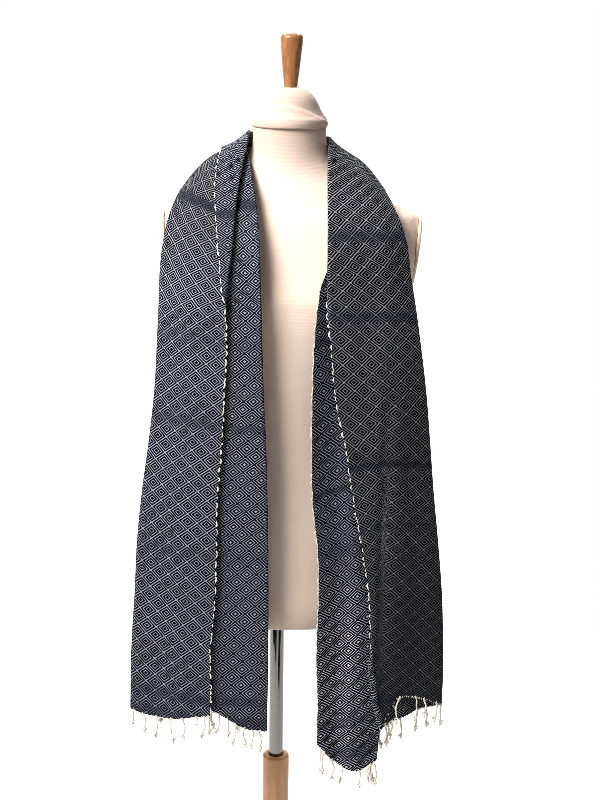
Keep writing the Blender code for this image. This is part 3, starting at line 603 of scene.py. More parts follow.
def skin(start, rings, sides):
    """Faces of a closed skin over rings of points, which are numbered from start."""
    faces = []
    for a in range(start, start + (rings - 1) * sides, sides):
        for index in range(sides):
            after = (index + 1) % sides
            faces.append((a + index, a + after, a + sides + after, a + sides + index))
    faces.append(tuple(range(start + sides - 1, start - 1, -1)))
    faces.append(tuple(range(start + (rings - 1) * sides, start + rings * sides)))
    return faces


def ring_frames(path):
    """Two directions square to the path at each point, turned as little as possible."""
    tangents = unit(np.gradient(path, axis=0))
    side = np.cross(tangents[0], (0.31, 0.22, 0.93))
    if np.linalg.norm(side) < 0.2:
        side = np.cross(tangents[0], (0.9, 0.3, 0.1))
    frames = []
    for tangent in tangents:
        side = unit(side - tangent * np.dot(side, tangent))
        frames.append((side, np.cross(tangent, side)))
    return frames


class Yarns:
    """Yarns as closed tubes that are gathered into one mesh."""

    def __init__(self, seed):
        self.points, self.faces = [], []
        self.random = random.Random(seed)
        self.between = self.random.uniform

    def add(self, path, radii, sides, twist=0.0, plies=0.0):
        """Adds a tube; plies gives it the twisted outline of a two-ply yarn."""
        path = np.array(path)
        self.faces += skin(len(self.points), len(path), sides)
        places = zip(path, ring_frames(path), distances(path), radii)
        for centre, (first, second), length, radius in places:
            for index in range(sides):
                angle = TURN * index / sides
                reach = radius * (1 + plies * cos(2 * (angle - twist * length)))
                self.points.append(
                    centre + (first * cos(angle) + second * sin(angle)) * reach)

    def mesh(self, name, material):
        return mesh_from(name, self.points, self.faces, [material], 60)


def down(length):
    return vector(0.0, 0.0, -length)


def at_place(where, places, values):
    return np.array([np.interp(where, places, values[:, axis]) for axis in range(3)])


# Fringe yarns: a strand's radius, twist for each metre, depth between its plies, step of its
# path and root above the hem's edge; its knot; the frayed ends below the knot; the ends that join
# a strand at the hem; the loose ends of a bunch; the stubs all along the hem. Each kind of end
# has its places along itself, with the radius at each
STRAND_RADIUS = 0.00128
STRAND_TWIST = TURN / 0.0074
STRAND_PLIES = 0.26
STRAND_STEP = 0.00125
ROOT = 0.0016
KNOT_SIZE = 0.0033
KNOT_POINTS = 15
KNOT_DROP = 0.0055
FRAYED_ENDS = 8
FRAYED_AT = (0.0, 0.35, 0.7, 1.0)
FRAYED_RADII = (0.00058, 0.00052, 0.00042, 0.00026)
JOINED_ENDS = 3
JOINED_AT = (0.0, 0.3, 0.6, 1.0)
JOINED_RADII = [0.00062] * 4
LOOSE_AT = (0.0, 0.14, 0.28, 0.43, 0.57, 0.71, 0.86, 1.0)
LOOSE_RADII = [0.00070 - 0.00035 * step / 7 for step in range(8)]
STUB_AT = (0.0, 0.4, 0.75, 1.0)
STUB_RADII = (0.00066, 0.00062, 0.00052, 0.00034)


def knot_path(centre, size, turn):
    """The centre line of a small overhand knot."""
    path = []
    for step in range(KNOT_POINTS):
        t = TURN * (0.06 + 0.88 * step / (KNOT_POINTS - 1))
        x = size * (sin(t) + 1.6 * sin(2 * t)) * 0.34
        y = size * (cos(t) - 1.6 * cos(2 * t)) * 0.34
        z = -size * sin(3 * t) * 0.62
        path.append(centre + vector(x * cos(turn) - y * sin(turn),
                                    x * sin(turn) + y * cos(turn), z))
    return path


def add_strand(yarns, root, side, length, reach, bend):
    """One twisted fringe strand: two plies, a knot near its end and a frayed tuft below it."""
    between = yarns.between
    radius = STRAND_RADIUS * between(0.85, 1.15)
    sway = between(-0.0012, 0.0012)
    phase = between(0, 6.28)
    ahead = vector(side[1], -side[0], 0.0)
    stop = length - KNOT_DROP
    count = max(12, int(stop / STRAND_STEP))
    path = []
    for step in range(count + 1):
        share = step / count
        arc = sin(pi * share)
        bow = reach * share + bend * arc + 0.0006 * sin(9 * share + phase)
        path.append(root + side * bow + ahead * sway * arc + down(stop * share - ROOT))
    radii = [radius * (1.25 - 0.25 * min(1.0, step / 4)) for step in range(count + 1)]
    yarns.add(path, radii, 8, STRAND_TWIST, STRAND_PLIES)
    centre = path[-1] + down(0.0010)
    yarns.add(knot_path(centre, KNOT_SIZE, phase), [radius * 0.80] * KNOT_POINTS, 6)
    for _ in range(FRAYED_ENDS):
        angle = between(0, TURN)
        spread = between(0.0004, 0.0028)
        tail = between(0.0035, 0.0080)
        out = vector(cos(angle), sin(angle), 0.0) * spread
        yarns.add([centre + out * t + down(0.0012 + tail * t) for t in FRAYED_AT],
                  FRAYED_RADII, 4)


def fringe(name, line, inside, rows, bunches, seed, material):
    """The knotted warp ends along one hem, with the short cut ends that stand between them."""
    yarns = Yarns(seed)
    between = yarns.between
    places, hem, hang = distances(line[:, 0:2]), line + AXIS, unit(line - inside)
    for across, length, reach, bend in rows:
        root = at_place(across, places, hem)
        side = at_place(across + 0.002, places, hem) - root
        side[2] = 0
        side = unit(side) * copysign(1, side[0])
        add_strand(yarns, root, side, length, reach, bend)
        for _ in range(JOINED_ENDS):
            start = at_place(across + between(-0.006, 0.006), places, hem)
            share = between(0.35, 0.6)
            yarns.add([start + (root - start) * (t ** 1.5) * share + down(0.004 * t - 0.001)
                       for t in JOINED_AT], JOINED_RADII, 5)
    for across, length, spread, count in bunches:
        root = at_place(across, places, hem)
        for _ in range(count):
            angle = between(0, TURN)
            out = vector(cos(angle), 0.6 * sin(angle), 0.0) * spread
            out *= between(0.2, 1.0)
            reach = length * between(0.55, 1.0)
            curl = between(-0.0016, 0.0016)
            yarns.add([root + out * sin(pi * 0.78 * t)
                       + vector(curl * sin(6 * t), 0.0, 0.0010 - reach * t)
                       for t in LOOSE_AT], LOOSE_RADII, 5)
    where = 0.002
    while where < places[-1]:
        start = at_place(where, places, hem)
        way = at_place(where, places, hang)
        lean = between(-0.0016, 0.0016)
        tail = between(0.0012, 0.0034)
        yarns.add([start - way * 0.001 + way * (tail + 0.001) * t
                   + vector(lean * t, -0.0004 * t, 0) for t in STUB_AT], STUB_RADII, 5)
        where += between(0.0016, 0.0052)
    return yarns.mesh(name, material)


def selvedge_loops(grid, seed, material):
    """Cream weft turns that show as uneven dashes along both woven edges."""
    yarns = Yarns(seed)
    between = yarns.between
    shares = [step / 6 for step in range(7)]
    bows = [sin(pi * share) for share in shares]
    normals = surface_normals(grid)
    for edge, inside in ((0, 1), (-1, -2)):
        line = grid[:, edge] + AXIS
        out = unit(grid[:, edge] - grid[:, inside])
        along = distances(line)
        where = 0.004
        while where < along[-1] - 0.01:
            length = between(0.0030, 0.0110)
            if yarns.random.random() < 0.14:
                length = between(0.009, 0.014)
            swell = between(0.0006, 0.0020)
            tilt = between(-0.5, 0.5)
            path = []
            for share, bow in zip(shares, bows):
                centre, away, up = [at_place(where + length * share, along, values)
                                    for values in (line, out, normals[:, edge])]
                path.append(centre + away * (swell * bow - 0.0004 * (1 - bow))
                            + up * (0.0005 + tilt * 0.0012) * bow)
            radius = between(0.00080, 0.00135)
            yarns.add(path, [radius * (0.45 + 0.55 * bow ** 0.5) for bow in bows], 6)
            where += length + between(0.0004, 0.0095)
    return yarns.mesh("selvedge_loops", material)


# Form: points round the torso, steps between its rows, and the inset and lift of each ring of
# its rounded lower edge; half width where the armhole plates cut the sides, its growth with
# height, where the cut starts, the height of the plates' middle; the bust; how far the cover
# stays inside the solid; the finial's lean; the foot of the neck cap
TORSO_SIDES = 112
TORSO_STEPS = 5
TORSO_HEM = ((0.0180, 0.0012), (0.0060, 0.0006), (0.0028, 0.0), (0.0008, 0.0008))
SIDE_FLAT = 0.1850
SIDE_SLOPE = 0.1200
SIDE_LOW = 1.21
PLATE_CENTRE = 1.2750
BUST_HEIGHT = 1.1950
BUST_TALL = 0.055
BUST_SPREAD = 0.0780
BUST_WIDE = 0.048
BUST_RISE = 0.0070
FORM_INSET = 0.0004
FORM_LEAN = 0.0152
NECK_PLACE = (0.0115, 0.001, 1.4600)

# Armhole plate: half width, half height, half thickness, points round it, and its outline as
# shares of the size with the rise of the surface
PLATE_WIDE = 0.0480
PLATE_TALL = 0.0600
PLATE_OUT = 0.0025
PLATE_SIDES = 72
PLATE_PROFILE = numbers("""
.0015 .0008  .6 .0007  .9 .0003  .965 -.0002  .99 -.001  1 -.0022  1 -.0035  .985 -.0046
.96 -.005  .002 -.005
""", 2)


def form_point(row, angle):
    """A point of the torso's outline at one level, on a flattened oval with a raised bust."""
    height, middle, half_width, front, back, square = row
    cosine, sine = cos(angle), sin(angle)
    x = (half_width - FORM_INSET) * copysign(abs(cosine) ** (2 / square), cosine)
    depth = (back if sine > 0 else front) - FORM_INSET
    y = depth * copysign(abs(sine) ** (2 / square), sine)
    flat = SIDE_FLAT + SIDE_SLOPE * (height - PLATE_CENTRE)
    if height > SIDE_LOW:
        x = max(-flat, min(flat, x))
    if sine < 0:
        near = exp(-((height - BUST_HEIGHT) / BUST_TALL) ** 2)
        left = exp(-((x + BUST_SPREAD) / BUST_WIDE) ** 2)
        right = exp(-((x - BUST_SPREAD) / BUST_WIDE) ** 2)
        y -= BUST_RISE * near * (left + right) * abs(sine)
    return vector(x + middle, y, height) + AXIS


def loft(name, rings, material, sharp=50):
    """A closed skin over rings of points."""
    points = [point for ring in rings for point in ring]
    faces = skin(0, len(rings), len(rings[0]))
    return mesh_from(name, points, faces, [material], sharp)


def angles(count):
    return [TURN * index / count for index in range(count)]


def torso(material):
    """The jersey torso: smooth loft, rounded lower edge, drawn in slightly where it is sewn."""
    steps = [TORSO_STEPS] * (len(TORSO_ROWS) - 1)
    rows = smooth_between(TORSO_ROWS, steps, TORSO_ROWS[:, 0])
    hem = [rows[0] + vector(lift, 0, -inset, -inset, -inset, 0) for inset, lift in TORSO_HEM]
    rings = [[form_point(row, angle) for angle in angles(TORSO_SIDES)]
             for row in hem + list(rows[1:])]
    return loft("torso_jersey", rings, material)


def spun(name, profile, place, material, sides=72, lean=0.0, shape=None):
    """A turned piece round an upright line, with a shape function for cloth over it."""
    rings = []
    for radius, height in reversed(profile):
        ring = []
        for angle in angles(sides):
            r = shape(radius, height, angle) if shape else radius
            ring.append(place + AXIS + (r * cos(angle) + lean * height, r * sin(angle), height))
        rings.append(ring)
    return loft(name, rings, material, 40)


def fine_profile(profile, steps):
    return smooth_between(profile, [steps] * (len(profile) - 1), distances(profile))


def cap_shape(radius, height, angle):
    """Jersey drawn over the neck cap, with one soft roll that winds down to the right."""
    if radius < 0.002:
        return max(radius, 0.0006)
    around = (angle + pi * 1.5) % TURN - pi
    ridge = 0.0330 - 0.0155 * max(0.0, around) ** 1.4
    reach = float(smooth_step(around, -0.80, -0.25) * (1 - smooth_step(around, 1.5, 2.1)))
    above = height - ridge
    hollow = -0.0054 * float(smooth_step(above, -0.0012, 0.0034)) * max(0.0, 1 - above / 0.026)
    swell = 0.0013 * exp(-((above + 0.0034) / 0.0032) ** 2)
    lower = 0.0008 * exp(-((height - 0.0150 + 0.0030 * around) / 0.0026) ** 2)
    behind = 0.0012 * sin(3 * angle + 60 * height) * (1 - reach)
    puff = 0.0004 * sin(5 * angle + 90 * height)
    change = reach * (hollow + swell + lower) + (behind + puff) * min(1.0, radius / 0.03)
    return radius + change * float(smooth_step(height, 0.003, 0.009))


def armhole_plate(name, node, material):
    """The covered oval plate at one end of the shoulders, with a softly rounded edge."""
    low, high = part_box(node)
    centre = (np.array(low) + np.array(high)) / 2
    sign = -1 if "left" in node else 1
    tilt = atan(SIDE_SLOPE)
    out = vector(sign * cos(tilt), 0.0, -sin(tilt))
    up = vector(sign * sin(tilt), 0.0, cos(tilt)) * PLATE_TALL
    level = vector(0.0, PLATE_WIDE, 0.0)
    rings = [[centre + (level * cos(angle) + up * sin(angle)) * share
              + out * (PLATE_OUT + rise) for angle in angles(PLATE_SIDES)]
             for share, rise in PLATE_PROFILE]
    item = loft(name, rings, material)
    fix_normals(item)
    return item


def fix_normals(item):
    shape = bmesh.new()
    shape.from_mesh(item.data)
    bmesh.ops.recalc_face_normals(shape, faces=shape.faces)
    shape.to_mesh(item.data)
    shape.free()


# Stand: outline of the hub and column as radius and height, from the foot up; the pole, whose
# edges are eased, and the gap round it; the foot of the bore; steps of the top's roundings
COLUMN_OUTSIDE = [(.028, .045), (.0318, .047), (.033, .051), (.033, .163), (.0318, .168),
                  (.028, .174), (.024, .187), (.0214, .201), (.021, .207)]
COLUMN_RADIUS = 0.0210
COLUMN_TOP = 0.4560
POLE_RADIUS = 0.0111
POLE_TOP = 0.8230
POLE_FOOT = 0.2000
POLE_EDGE = 0.001
RUNNING_GAP = 0.0003
BORE_FOOT = 0.0850
ROUND_STEPS = 8
LEG_EDGE = 0.0028


def column_profile():
    """The column's outline from its foot up the outer side, over the top and down the bore."""
    bore = POLE_RADIUS + RUNNING_GAP
    quarter = [pi / 2 * step / ROUND_STEPS for step in range(ROUND_STEPS, -1, -1)]
    shoulder = [(COLUMN_RADIUS - 0.0050 * (1 - sin(angle)),
                 COLUMN_TOP - 0.001 - 0.0050 * (1 - cos(angle))) for angle in quarter]
    mouth = [(bore + 0.0042 * (1 - cos(angle)), COLUMN_TOP - 0.0055 + 0.0045 * sin(angle))
             for angle in quarter]
    return COLUMN_OUTSIDE + shoulder + mouth + [(bore, COLUMN_TOP - 0.0060), (bore, BORE_FOOT)]


def rounded_leg(name, node, material):
    """One leg with eased edges, on the outline of its solid."""
    shape = bmesh.new()
    shape.from_mesh(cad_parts[node].data)
    bmesh.ops.remove_doubles(shape, verts=shape.verts, dist=0.00002)
    bmesh.ops.dissolve_limit(shape, angle_limit=radians(1.5), verts=shape.verts,
                             edges=shape.edges)
    mesh = bpy.data.meshes.new(name)
    shape.to_mesh(mesh)
    shape.free()
    item = new_object(name, mesh, [material])
    edge = item.modifiers.new("Eased edges", "BEVEL")
    edge.width = LEG_EDGE
    edge.segments = 3
    edge.limit_method = "ANGLE"
    edge.angle_limit = radians(55)
    return item


class Value:
    """One output of a material's node; a sum or function of it adds a Math node."""

    def __init__(self, graph, socket):
        self.graph, self.socket = graph, socket

    def math(self, operation, second=0.0, clamp=False):
        return self.graph.math(operation, self, second, clamp)

    def __add__(self, other):
        return self.math("ADD", other)

    def __sub__(self, other):
        return self.math("SUBTRACT", other)

    def __rsub__(self, other):
        return self.graph.math("SUBTRACT", other, self)

    def __mul__(self, other):
        return self.math("MULTIPLY", other)

    def __truediv__(self, other):
        return self.math("DIVIDE", other)

    def step(self, low, high, first=0.0, last=1.0):
        """A smooth step of the value from first at low to last at high."""
        return self.graph.node("MapRange", "Result", {
            "Value": self, "From Min": low, "From Max": high, "To Min": first, "To Max": last,
        }, interpolation_type="SMOOTHSTEP")


class Graph:
    """A material's node tree, with short calls for the nodes used here."""

    def __init__(self, name, roughness, metallic=0.0, **sockets):
        self.material = bpy.data.materials.new(name)
        self.material.use_nodes = True
        self.tree = self.material.node_tree
        self.shader = self.tree.nodes["Principled BSDF"]
        sockets.update(Roughness=roughness, Metallic=metallic)
        for socket, value in sockets.items():
            self.shader.inputs[socket.replace("_", " ")].default_value = value

    def put(self, value, socket):
        if isinstance(value, Value):
            self.tree.links.new(value.socket, socket)
        elif socket.type == "RGBA":
            socket.default_value = (*value, 1.0)
        else:
            socket.default_value = value

    def node(self, kind, output=0, inputs=(), **settings):
        """Adds a node with its inputs and settings, and gives back one of its outputs."""
        node = self.tree.nodes.new("ShaderNode" + kind)
        for name, value in settings.items():
            setattr(node, name, value)
        for name, value in dict(inputs).items():
            self.put(value, node.inputs[name])
        return Value(self, node.outputs[output])

    def math(self, operation, first, second=0.0, clamp=False):
        return self.node("Math", 0, {0: first, 1: second}, operation=operation, use_clamp=clamp)

    def layers(self, colour, *layers):
        """Colours laid over the first one in turn, each by its own share."""
        for share, over in layers:
            colour = self.node("Mix", 2, {0: share, 6: colour, 7: over}, data_type="RGBA")
        return colour

    def object_place(self, scale=(1.0, 1.0, 1.0)):
        place = self.node("TexCoord", "Object")
        return self.node("Mapping", 0, {"Vector": place, "Scale": scale})

    def noise(self, place, scale, detail=2.0, roughness=0.5, distortion=0.0):
        return self.node("TexNoise", 0, {"Vector": place, "Scale": scale, "Detail": detail,
                                         "Roughness": roughness, "Distortion": distortion})

    def split(self, place):
        outputs = self.node("SeparateXYZ", 0, {0: place}).socket.node.outputs
        return [Value(self, socket) for socket in outputs]

    def join(self, x, y):
        return self.node("CombineXYZ", 0, {0: x, 1: y})

    def bump(self, height, distance, strength, before=None):
        inputs = {"Strength": strength, "Distance": distance, "Height": height}
        if before:
            inputs["Normal"] = before
        return self.node("Bump", 0, inputs)

    def finish(self, colour, **sockets):
        """The material, with what its shader takes from the nodes."""
        self.put(colour, self.shader.inputs["Base Color"])
        for socket, value in sockets.items():
            self.put(value, self.shader.inputs[socket])
        return self.material


WHITE = (1.0, 1.0, 1.0)

# Dyed yarn in the plain ground, in light places, with painted shade in the gaps between yarns, and
# in the dark wefts and the painted crease shadow; natural yarn, a warmer tone, painted shade,
# painted light
NAVY = (0.0025, 0.0034, 0.0080)
NAVY_LIGHT = (0.0050, 0.0068, 0.0160)
# Navy with painted shade in the gaps between yarns
NAVY_GAP_SHADE = (0.0010, 0.0014, 0.0030)
BAND_NAVY = (0.0085, 0.0105, 0.0210)
NATURAL = (0.232, 0.250, 0.292)
NATURAL_WARM = (0.268, 0.278, 0.300)
# Natural yarn with painted shade, and with painted light
NATURAL_PAINTED_SHADE = (0.170, 0.165, 0.155)
NATURAL_PAINTED_LIGHT = (0.430, 0.450, 0.490)
# Distance between the light lines of a diamond, in repeats
RING = 0.18

# Denser navy weft, and at 73.15 a painted shadow along the right front's crease; in repeats along
# the cloth from the left hem: middle, half width, strength
DARK_WEFTS_AND_CREASE_SHADOW = numbers("""
.1 .7 .6  1.45 .45 .55  10.5 .45 .25  18.7 .45 .5  24 .45 .25  32.65 .52 .85  45 .5 .6
59.05 .5 .65  64.15 .46 .55  73.15 .3 .7  77 .45 .3  88.35 .45 .45  90.55 .7 .6
""", 3)


def weave_material(name, light_centres):
    """Concentric diamonds of a point twill, charted yarn by yarn from the cloth's coordinates."""
    graph = Graph(name, 0.90, Specular_IOR_Level=0.04)
    across, along, _ = graph.split(graph.node("UVMap", uv_map="weave"))
    across_yarns, along_yarns = across * YARNS, along * YARNS
    warp, weft = across_yarns.math("FLOOR"), along_yarns.math("FLOOR")
    charted = [((yarn + 0.5) / YARNS).math("PINGPONG", 0.5) for yarn in (warp, weft)]
    diamond = (charted[0] + charted[1]).math("PINGPONG", 0.5)
    from_lattice = 0.5 - diamond.math("MAXIMUM", 0.05)
    rings = (from_lattice * (TURN / RING)).math("COSINE")
    if light_centres:
        rings = rings * -1.0
    up = rings.step(0.42, 0.66)

    # Unevenness of single yarns, and the dark wefts with the painted crease shadow
    slub = graph.noise(graph.join(across * 0.9, weft * 0.61), 1.0, 2.0, 0.6)
    fleck = graph.noise(graph.join(warp * 0.73, along * 0.5), 1.0, 2.0, 0.6)
    bands = [(along - middle).math("ABSOLUTE").step(0.3 * half, half, strength, 0.0)
             for middle, half, strength in DARK_WEFTS_AND_CREASE_SHADOW]
    dark = bands[0]
    for band in bands[1:]:
        dark = dark + band
    dark = dark * slub.step(0.25, 0.60, 0.6, 1.0)

    # Light yarn, with painted shade and painted light laid on it by its place on the cloth; then
    # dark yarn
    warp_round = (across_yarns.math("FRACT") * pi).math("SINE")
    weft_round = (along_yarns.math("FRACT") * pi).math("SINE")
    if light_centres:
        # Face B low down: painted light where across is under 1.2 or over 10.4 repeats (the under
        # panel), painted shade between (the layer behind)
        inner_half = across.step(9.4, 10.4).math("ADD", across.step(1.6, 1.2), True)
        painted_light_and_shade = [(along.step(76.0, 84.0),
                      graph.layers(NATURAL_PAINTED_SHADE, (inner_half, NATURAL_PAINTED_LIGHT)))]
    else:
        # Face A: painted shade from high on the left stretch onwards, painted light at the top of
        # the right front, more painted shade on the right front outside the tuck, and navy painted
        # shade low on the right
        outside_tuck = across.step(1.9, 2.6, 0.35, 1.0)
        painted_light_and_shade = [(along.step(26.0, 33.0, 0.0, 0.80), NATURAL_PAINTED_SHADE),
                     (along.step(50.0, 55.0, 0.0, 0.4), NATURAL_PAINTED_LIGHT),
                     (along.step(63.0, 74.0) * outside_tuck, NATURAL_PAINTED_SHADE),
                     (along.step(76.0, 84.0, 0.0, 0.35), NAVY_LIGHT)]
    natural = graph.layers(NATURAL_WARM, (fleck, NATURAL), *painted_light_and_shade,
                           # Painted shade at the light yarns' edges, partly the navy weft seen
                           # between them
                           (warp_round.step(0.0, 0.75, 0.40, 0.0), NAVY),
                           (dark.math("MULTIPLY", 0.95, True), BAND_NAVY))
    navy = graph.layers(NAVY, (slub.step(0.35, 0.70), NAVY_LIGHT),
                        # Painted shade at the dark yarns' edges, in the gaps between yarns
                        (weft_round.step(0.0, 0.60, 0.45, 0.0), NAVY_GAP_SHADE),
                        (dark.math("MULTIPLY", 0.80, True), BAND_NAVY))

    yarn = up * (warp_round * 0.9) + (1.0 - up) * (weft_round * 0.75)
    wide = graph.noise(graph.join(across, along), 2.2, 3.0, 0.55)
    normal = graph.bump(wide, 0.0011, 0.6, graph.bump(yarn, 0.00022, 0.8))
    return graph.finish(graph.layers(navy, (up, natural)), Normal=normal)


def yarn_material(name, colour, shade):
    graph = Graph(name, 0.85, Sheen_Weight=0.25, Specular_IOR_Level=0.3)
    tone = graph.noise(graph.object_place(), 900.0, 3.0, 0.6)
    fibres = graph.noise(graph.object_place((1.0, 1.0, 0.35)), 2600.0)
    body = graph.layers(shade, (tone.step(0.3, 0.7), colour))
    return graph.finish(body, Normal=graph.bump(fibres, 0.0002, 0.7))


# Jersey: wales round the form, height of a course
WALES = 120.0
COURSE = 0.00115


def jersey_material():
    """Fine cotton jersey: rows of small stitches, a faint unevenness and a soft nap, with painted
    shade on the neck and cap and in the hollows between stitches.
    """
    graph = Graph("cream_jersey", 0.82, Sheen_Weight=0.15, Specular_IOR_Level=0.2)
    place = graph.object_place()
    x, y, z = graph.split(place)
    around = (y - AXIS_Y).math("ARCTAN2", x - AXIS_X)
    wale_place = (around * WALES).math("FRACT")
    course = z * (1 / COURSE) + (wale_place - 0.5).math("ABSOLUTE")
    stitch = (wale_place * pi).math("SINE") * (course * TURN).math("SINE")
    cloudy = graph.noise(place, 9.0, 3.0, 0.55)
    fine = graph.noise(place, 420.0, 3.0, 0.6)
    colour = graph.layers((0.790, 0.625, 0.510),
                          (cloudy.step(0.3, 0.7), (0.810, 0.645, 0.530)),
                          # Painted shade: darker jersey on the neck and cap, from 1.375 m up
                          (z.step(1.375, 1.440, 0.0, 0.85), (0.47, 0.365, 0.300)),
                          (fine.step(0.25, 0.75, 0.10, 0.0), (0.62, 0.46, 0.36)),
                          # Painted shade in the hollows between stitches
                          (stitch.step(-1.0, -0.2, 0.12, 0.0), (0.56, 0.41, 0.31)))
    normal = graph.bump(stitch, 0.00016, 0.35)
    normal = graph.bump(graph.noise(place, 26.0, 3.0, 0.5), 0.0018, 0.25, normal)
    return graph.finish(colour, Normal=normal)


# Light, dark and pore colours of both woods, and how the grain, pores and flecks are stretched
BEECH = ((0.600, 0.310, 0.120), (0.480, 0.225, 0.080), (0.300, 0.160, 0.070))
VARNISHED = ((0.330, 0.145, 0.058), (0.220, 0.085, 0.030), (0.150, 0.060, 0.020))
UPRIGHT_GRAIN = ((1.0, 1.0, 0.10), (1.0, 1.0, 0.045), (1.0, 1.0, 0.16))
LEVEL_GRAIN = ((0.14, 0.14, 1.0), (0.06, 0.06, 1.0), (0.2, 0.2, 1.0))


def wood_material(name, colours, roughness, coat, grain):
    """Straight-grained wood: growth rings, fine long pores and a slightly uneven lacquer."""
    graph = Graph(name, roughness, Coat_Weight=coat, Coat_Roughness=0.12)
    light, dark, pore = colours
    place, pores_place, flecks_place = [graph.object_place(stretch) for stretch in grain]
    warped = graph.noise(place, 34.0, 3.0, 0.55, 0.6)
    rings = (warped * 46.0).math("SINE")
    pores = graph.noise(pores_place, 1500.0, 2.0, 0.6)
    flecks = graph.noise(flecks_place, 620.0, 2.0, 0.6)
    colour = graph.layers(light, (rings.step(-1.0, 1.0, 0.15, 0.75), dark),
                          (pores.step(0.58, 0.72, 0.0, 0.45), pore),
                          (flecks.step(0.66, 0.74, 0.0, 0.40), pore))
    gloss = warped.step(0.3, 0.7, roughness - 0.04, roughness + 0.07)
    return graph.finish(colour, Normal=graph.bump(pores, 0.00020, 0.25), Roughness=gloss)


def chrome_material():
    graph = Graph("chrome", 0.09, 1.0)
    rub = graph.noise(graph.object_place((1.0, 1.0, 0.02)), 900.0)
    haze = graph.noise(graph.object_place(), 60.0, 3.0, 0.6)
    gloss = haze.step(0.35, 0.75, 0.045, 0.13) + rub * 0.03
    worn = haze.step(0.5, 0.8, 0.0, 0.25)
    colour = graph.layers((0.20, 0.19, 0.18), (worn, (0.16, 0.15, 0.14)))
    return graph.finish(colour, Normal=graph.bump(rub, 0.00003, 0.15), Roughness=gloss)


def white_when_seen(tree, share, shader, kind, output):
    """Plain white in place of a shader, by a share that is above zero for camera rays only."""
    white = tree.nodes.new("ShaderNode" + kind)
    white.inputs["Color"].default_value = (*WHITE, 1.0)
    either = tree.nodes.new("ShaderNodeMixShader")
    for index, socket in enumerate((share, shader.outputs[0], white.outputs[0])):
        tree.links.new(socket, either.inputs[index])
    tree.links.new(either.outputs[0], tree.nodes[output].inputs[0])


def floor_material():
    """Plain pale paper that is lit evenly away from the stand, as a studio backdrop is."""
    graph = Graph("pale_floor", 0.9)
    place = graph.object_place()
    tone = graph.noise(place, 0.8)
    x, y, _ = graph.split(place)
    away = (x * x + y * y).math("SQRT")
    seen = away.step(0.45, 1.9) * graph.node("LightPath", "Is Camera Ray")
    white_when_seen(graph.tree, seen.socket, graph.shader, "Emission", "Material Output")
    return graph.finish(graph.layers((0.90, 0.90, 0.90), (tone, (0.885, 0.885, 0.885))))


def build_cloth(cotton):
    grid, normals, u, left_end, right_start = band_grid()
    add_creases(grid[:left_end], normals[:left_end], LEFT_CREASES)
    add_creases(grid[right_start:], normals[right_start:], RIGHT_CREASES)
    across, along = weave_places(grid, u, left_end, right_start)
    edge_ripples(grid, normals, u)
    faces = [weave_material("krama_face_a", False), weave_material("krama_face_b", True)]
    cloth = krama_cloth("krama_cloth", grid, across, along, faces)
    roll = rolled_edge(grid, along, right_start, faces)
    left = fringe("krama_fringe_left", grid[0], grid[1], LEFT_FRINGE, LEFT_BUNCHES, 11, cotton)
    right = fringe("krama_fringe_right", grid[-1], grid[-2], RIGHT_FRINGE, RIGHT_BUNCHES, 47,
                   cotton)
    loops = selvedge_loops(grid, 5, cotton)
    return cloth, roll, left, right, loops


def build_form(jersey, varnished):
    body = torso(jersey)
    cap = spun("neck_cap_jersey", fine_profile(CAP_PROFILE[:-1], 5), NECK_PLACE, jersey, 96,
               shape=cap_shape)
    top = CAP_PROFILE[0][1] + 0.0005
    knob_place = (NECK_PLACE[0] + FORM_LEAN * top, NECK_PLACE[1], NECK_PLACE[2] + top)
    knob = spun("finial_wood", fine_profile(FINIAL_PROFILE[1:-1], 4), knob_place, varnished, 64,
                FORM_LEAN)
    plates = [armhole_plate("armhole_cover_" + side, "armhole_plate_" + side, jersey)
              for side in ("left", "right")]
    return body, cap, knob, plates


def build_stand(beech, leg_wood, chrome):
    column = spun("column_wood", column_profile(), (0, 0, 0), beech)
    fix_normals(column)
    top, rim = POLE_TOP - RUNNING_GAP, POLE_RADIUS - POLE_EDGE
    tube = spun("pole_tube", [(rim, top), (POLE_RADIUS, top - POLE_EDGE),
                              (POLE_RADIUS, POLE_FOOT + POLE_EDGE), (rim, POLE_FOOT)],
                (0, 0, 0), chrome)
    legs = [rounded_leg("leg_wood_%d" % number, "leg_%d" % number, leg_wood)
            for number in (1, 2, 3)]
    return column, tube, legs


# Studio: front and half width of the floor, where it starts to rise, radius and steps of its
# curve, height of the backdrop
FLOOR_FRONT = -6.0
FLOOR_SIDE = 8.0
FLOOR_BACK = 3.0
CURVE = 1.5
CURVE_STEPS = 12
BACKDROP = 6.0


def stage():
    """A pale floor that curves up into a plain backdrop."""
    profile = [(FLOOR_FRONT, 0.0), (FLOOR_BACK, 0.0)]
    for step in range(1, CURVE_STEPS + 1):
        angle = pi / 2 * step / CURVE_STEPS
        profile.append((FLOOR_BACK + CURVE * sin(angle), CURVE * (1 - cos(angle))))
    profile.append((FLOOR_BACK + CURVE, BACKDROP))
    points = [(x, y, z) for y, z in profile for x in (-FLOOR_SIDE, FLOOR_SIDE)]
    faces = [(a, a + 1, a + 3, a + 2) for a in range(0, len(points) - 2, 2)]
    floor = mesh_from("floor", points, faces, [floor_material()], 180)


def add_object(name, data, place, turn):
    item = bpy.data.objects.new(name, data)
    bpy.context.scene.collection.objects.link(item)
    item.location = place
    item.rotation_mode = "QUATERNION"
    item.rotation_quaternion = turn
    return item


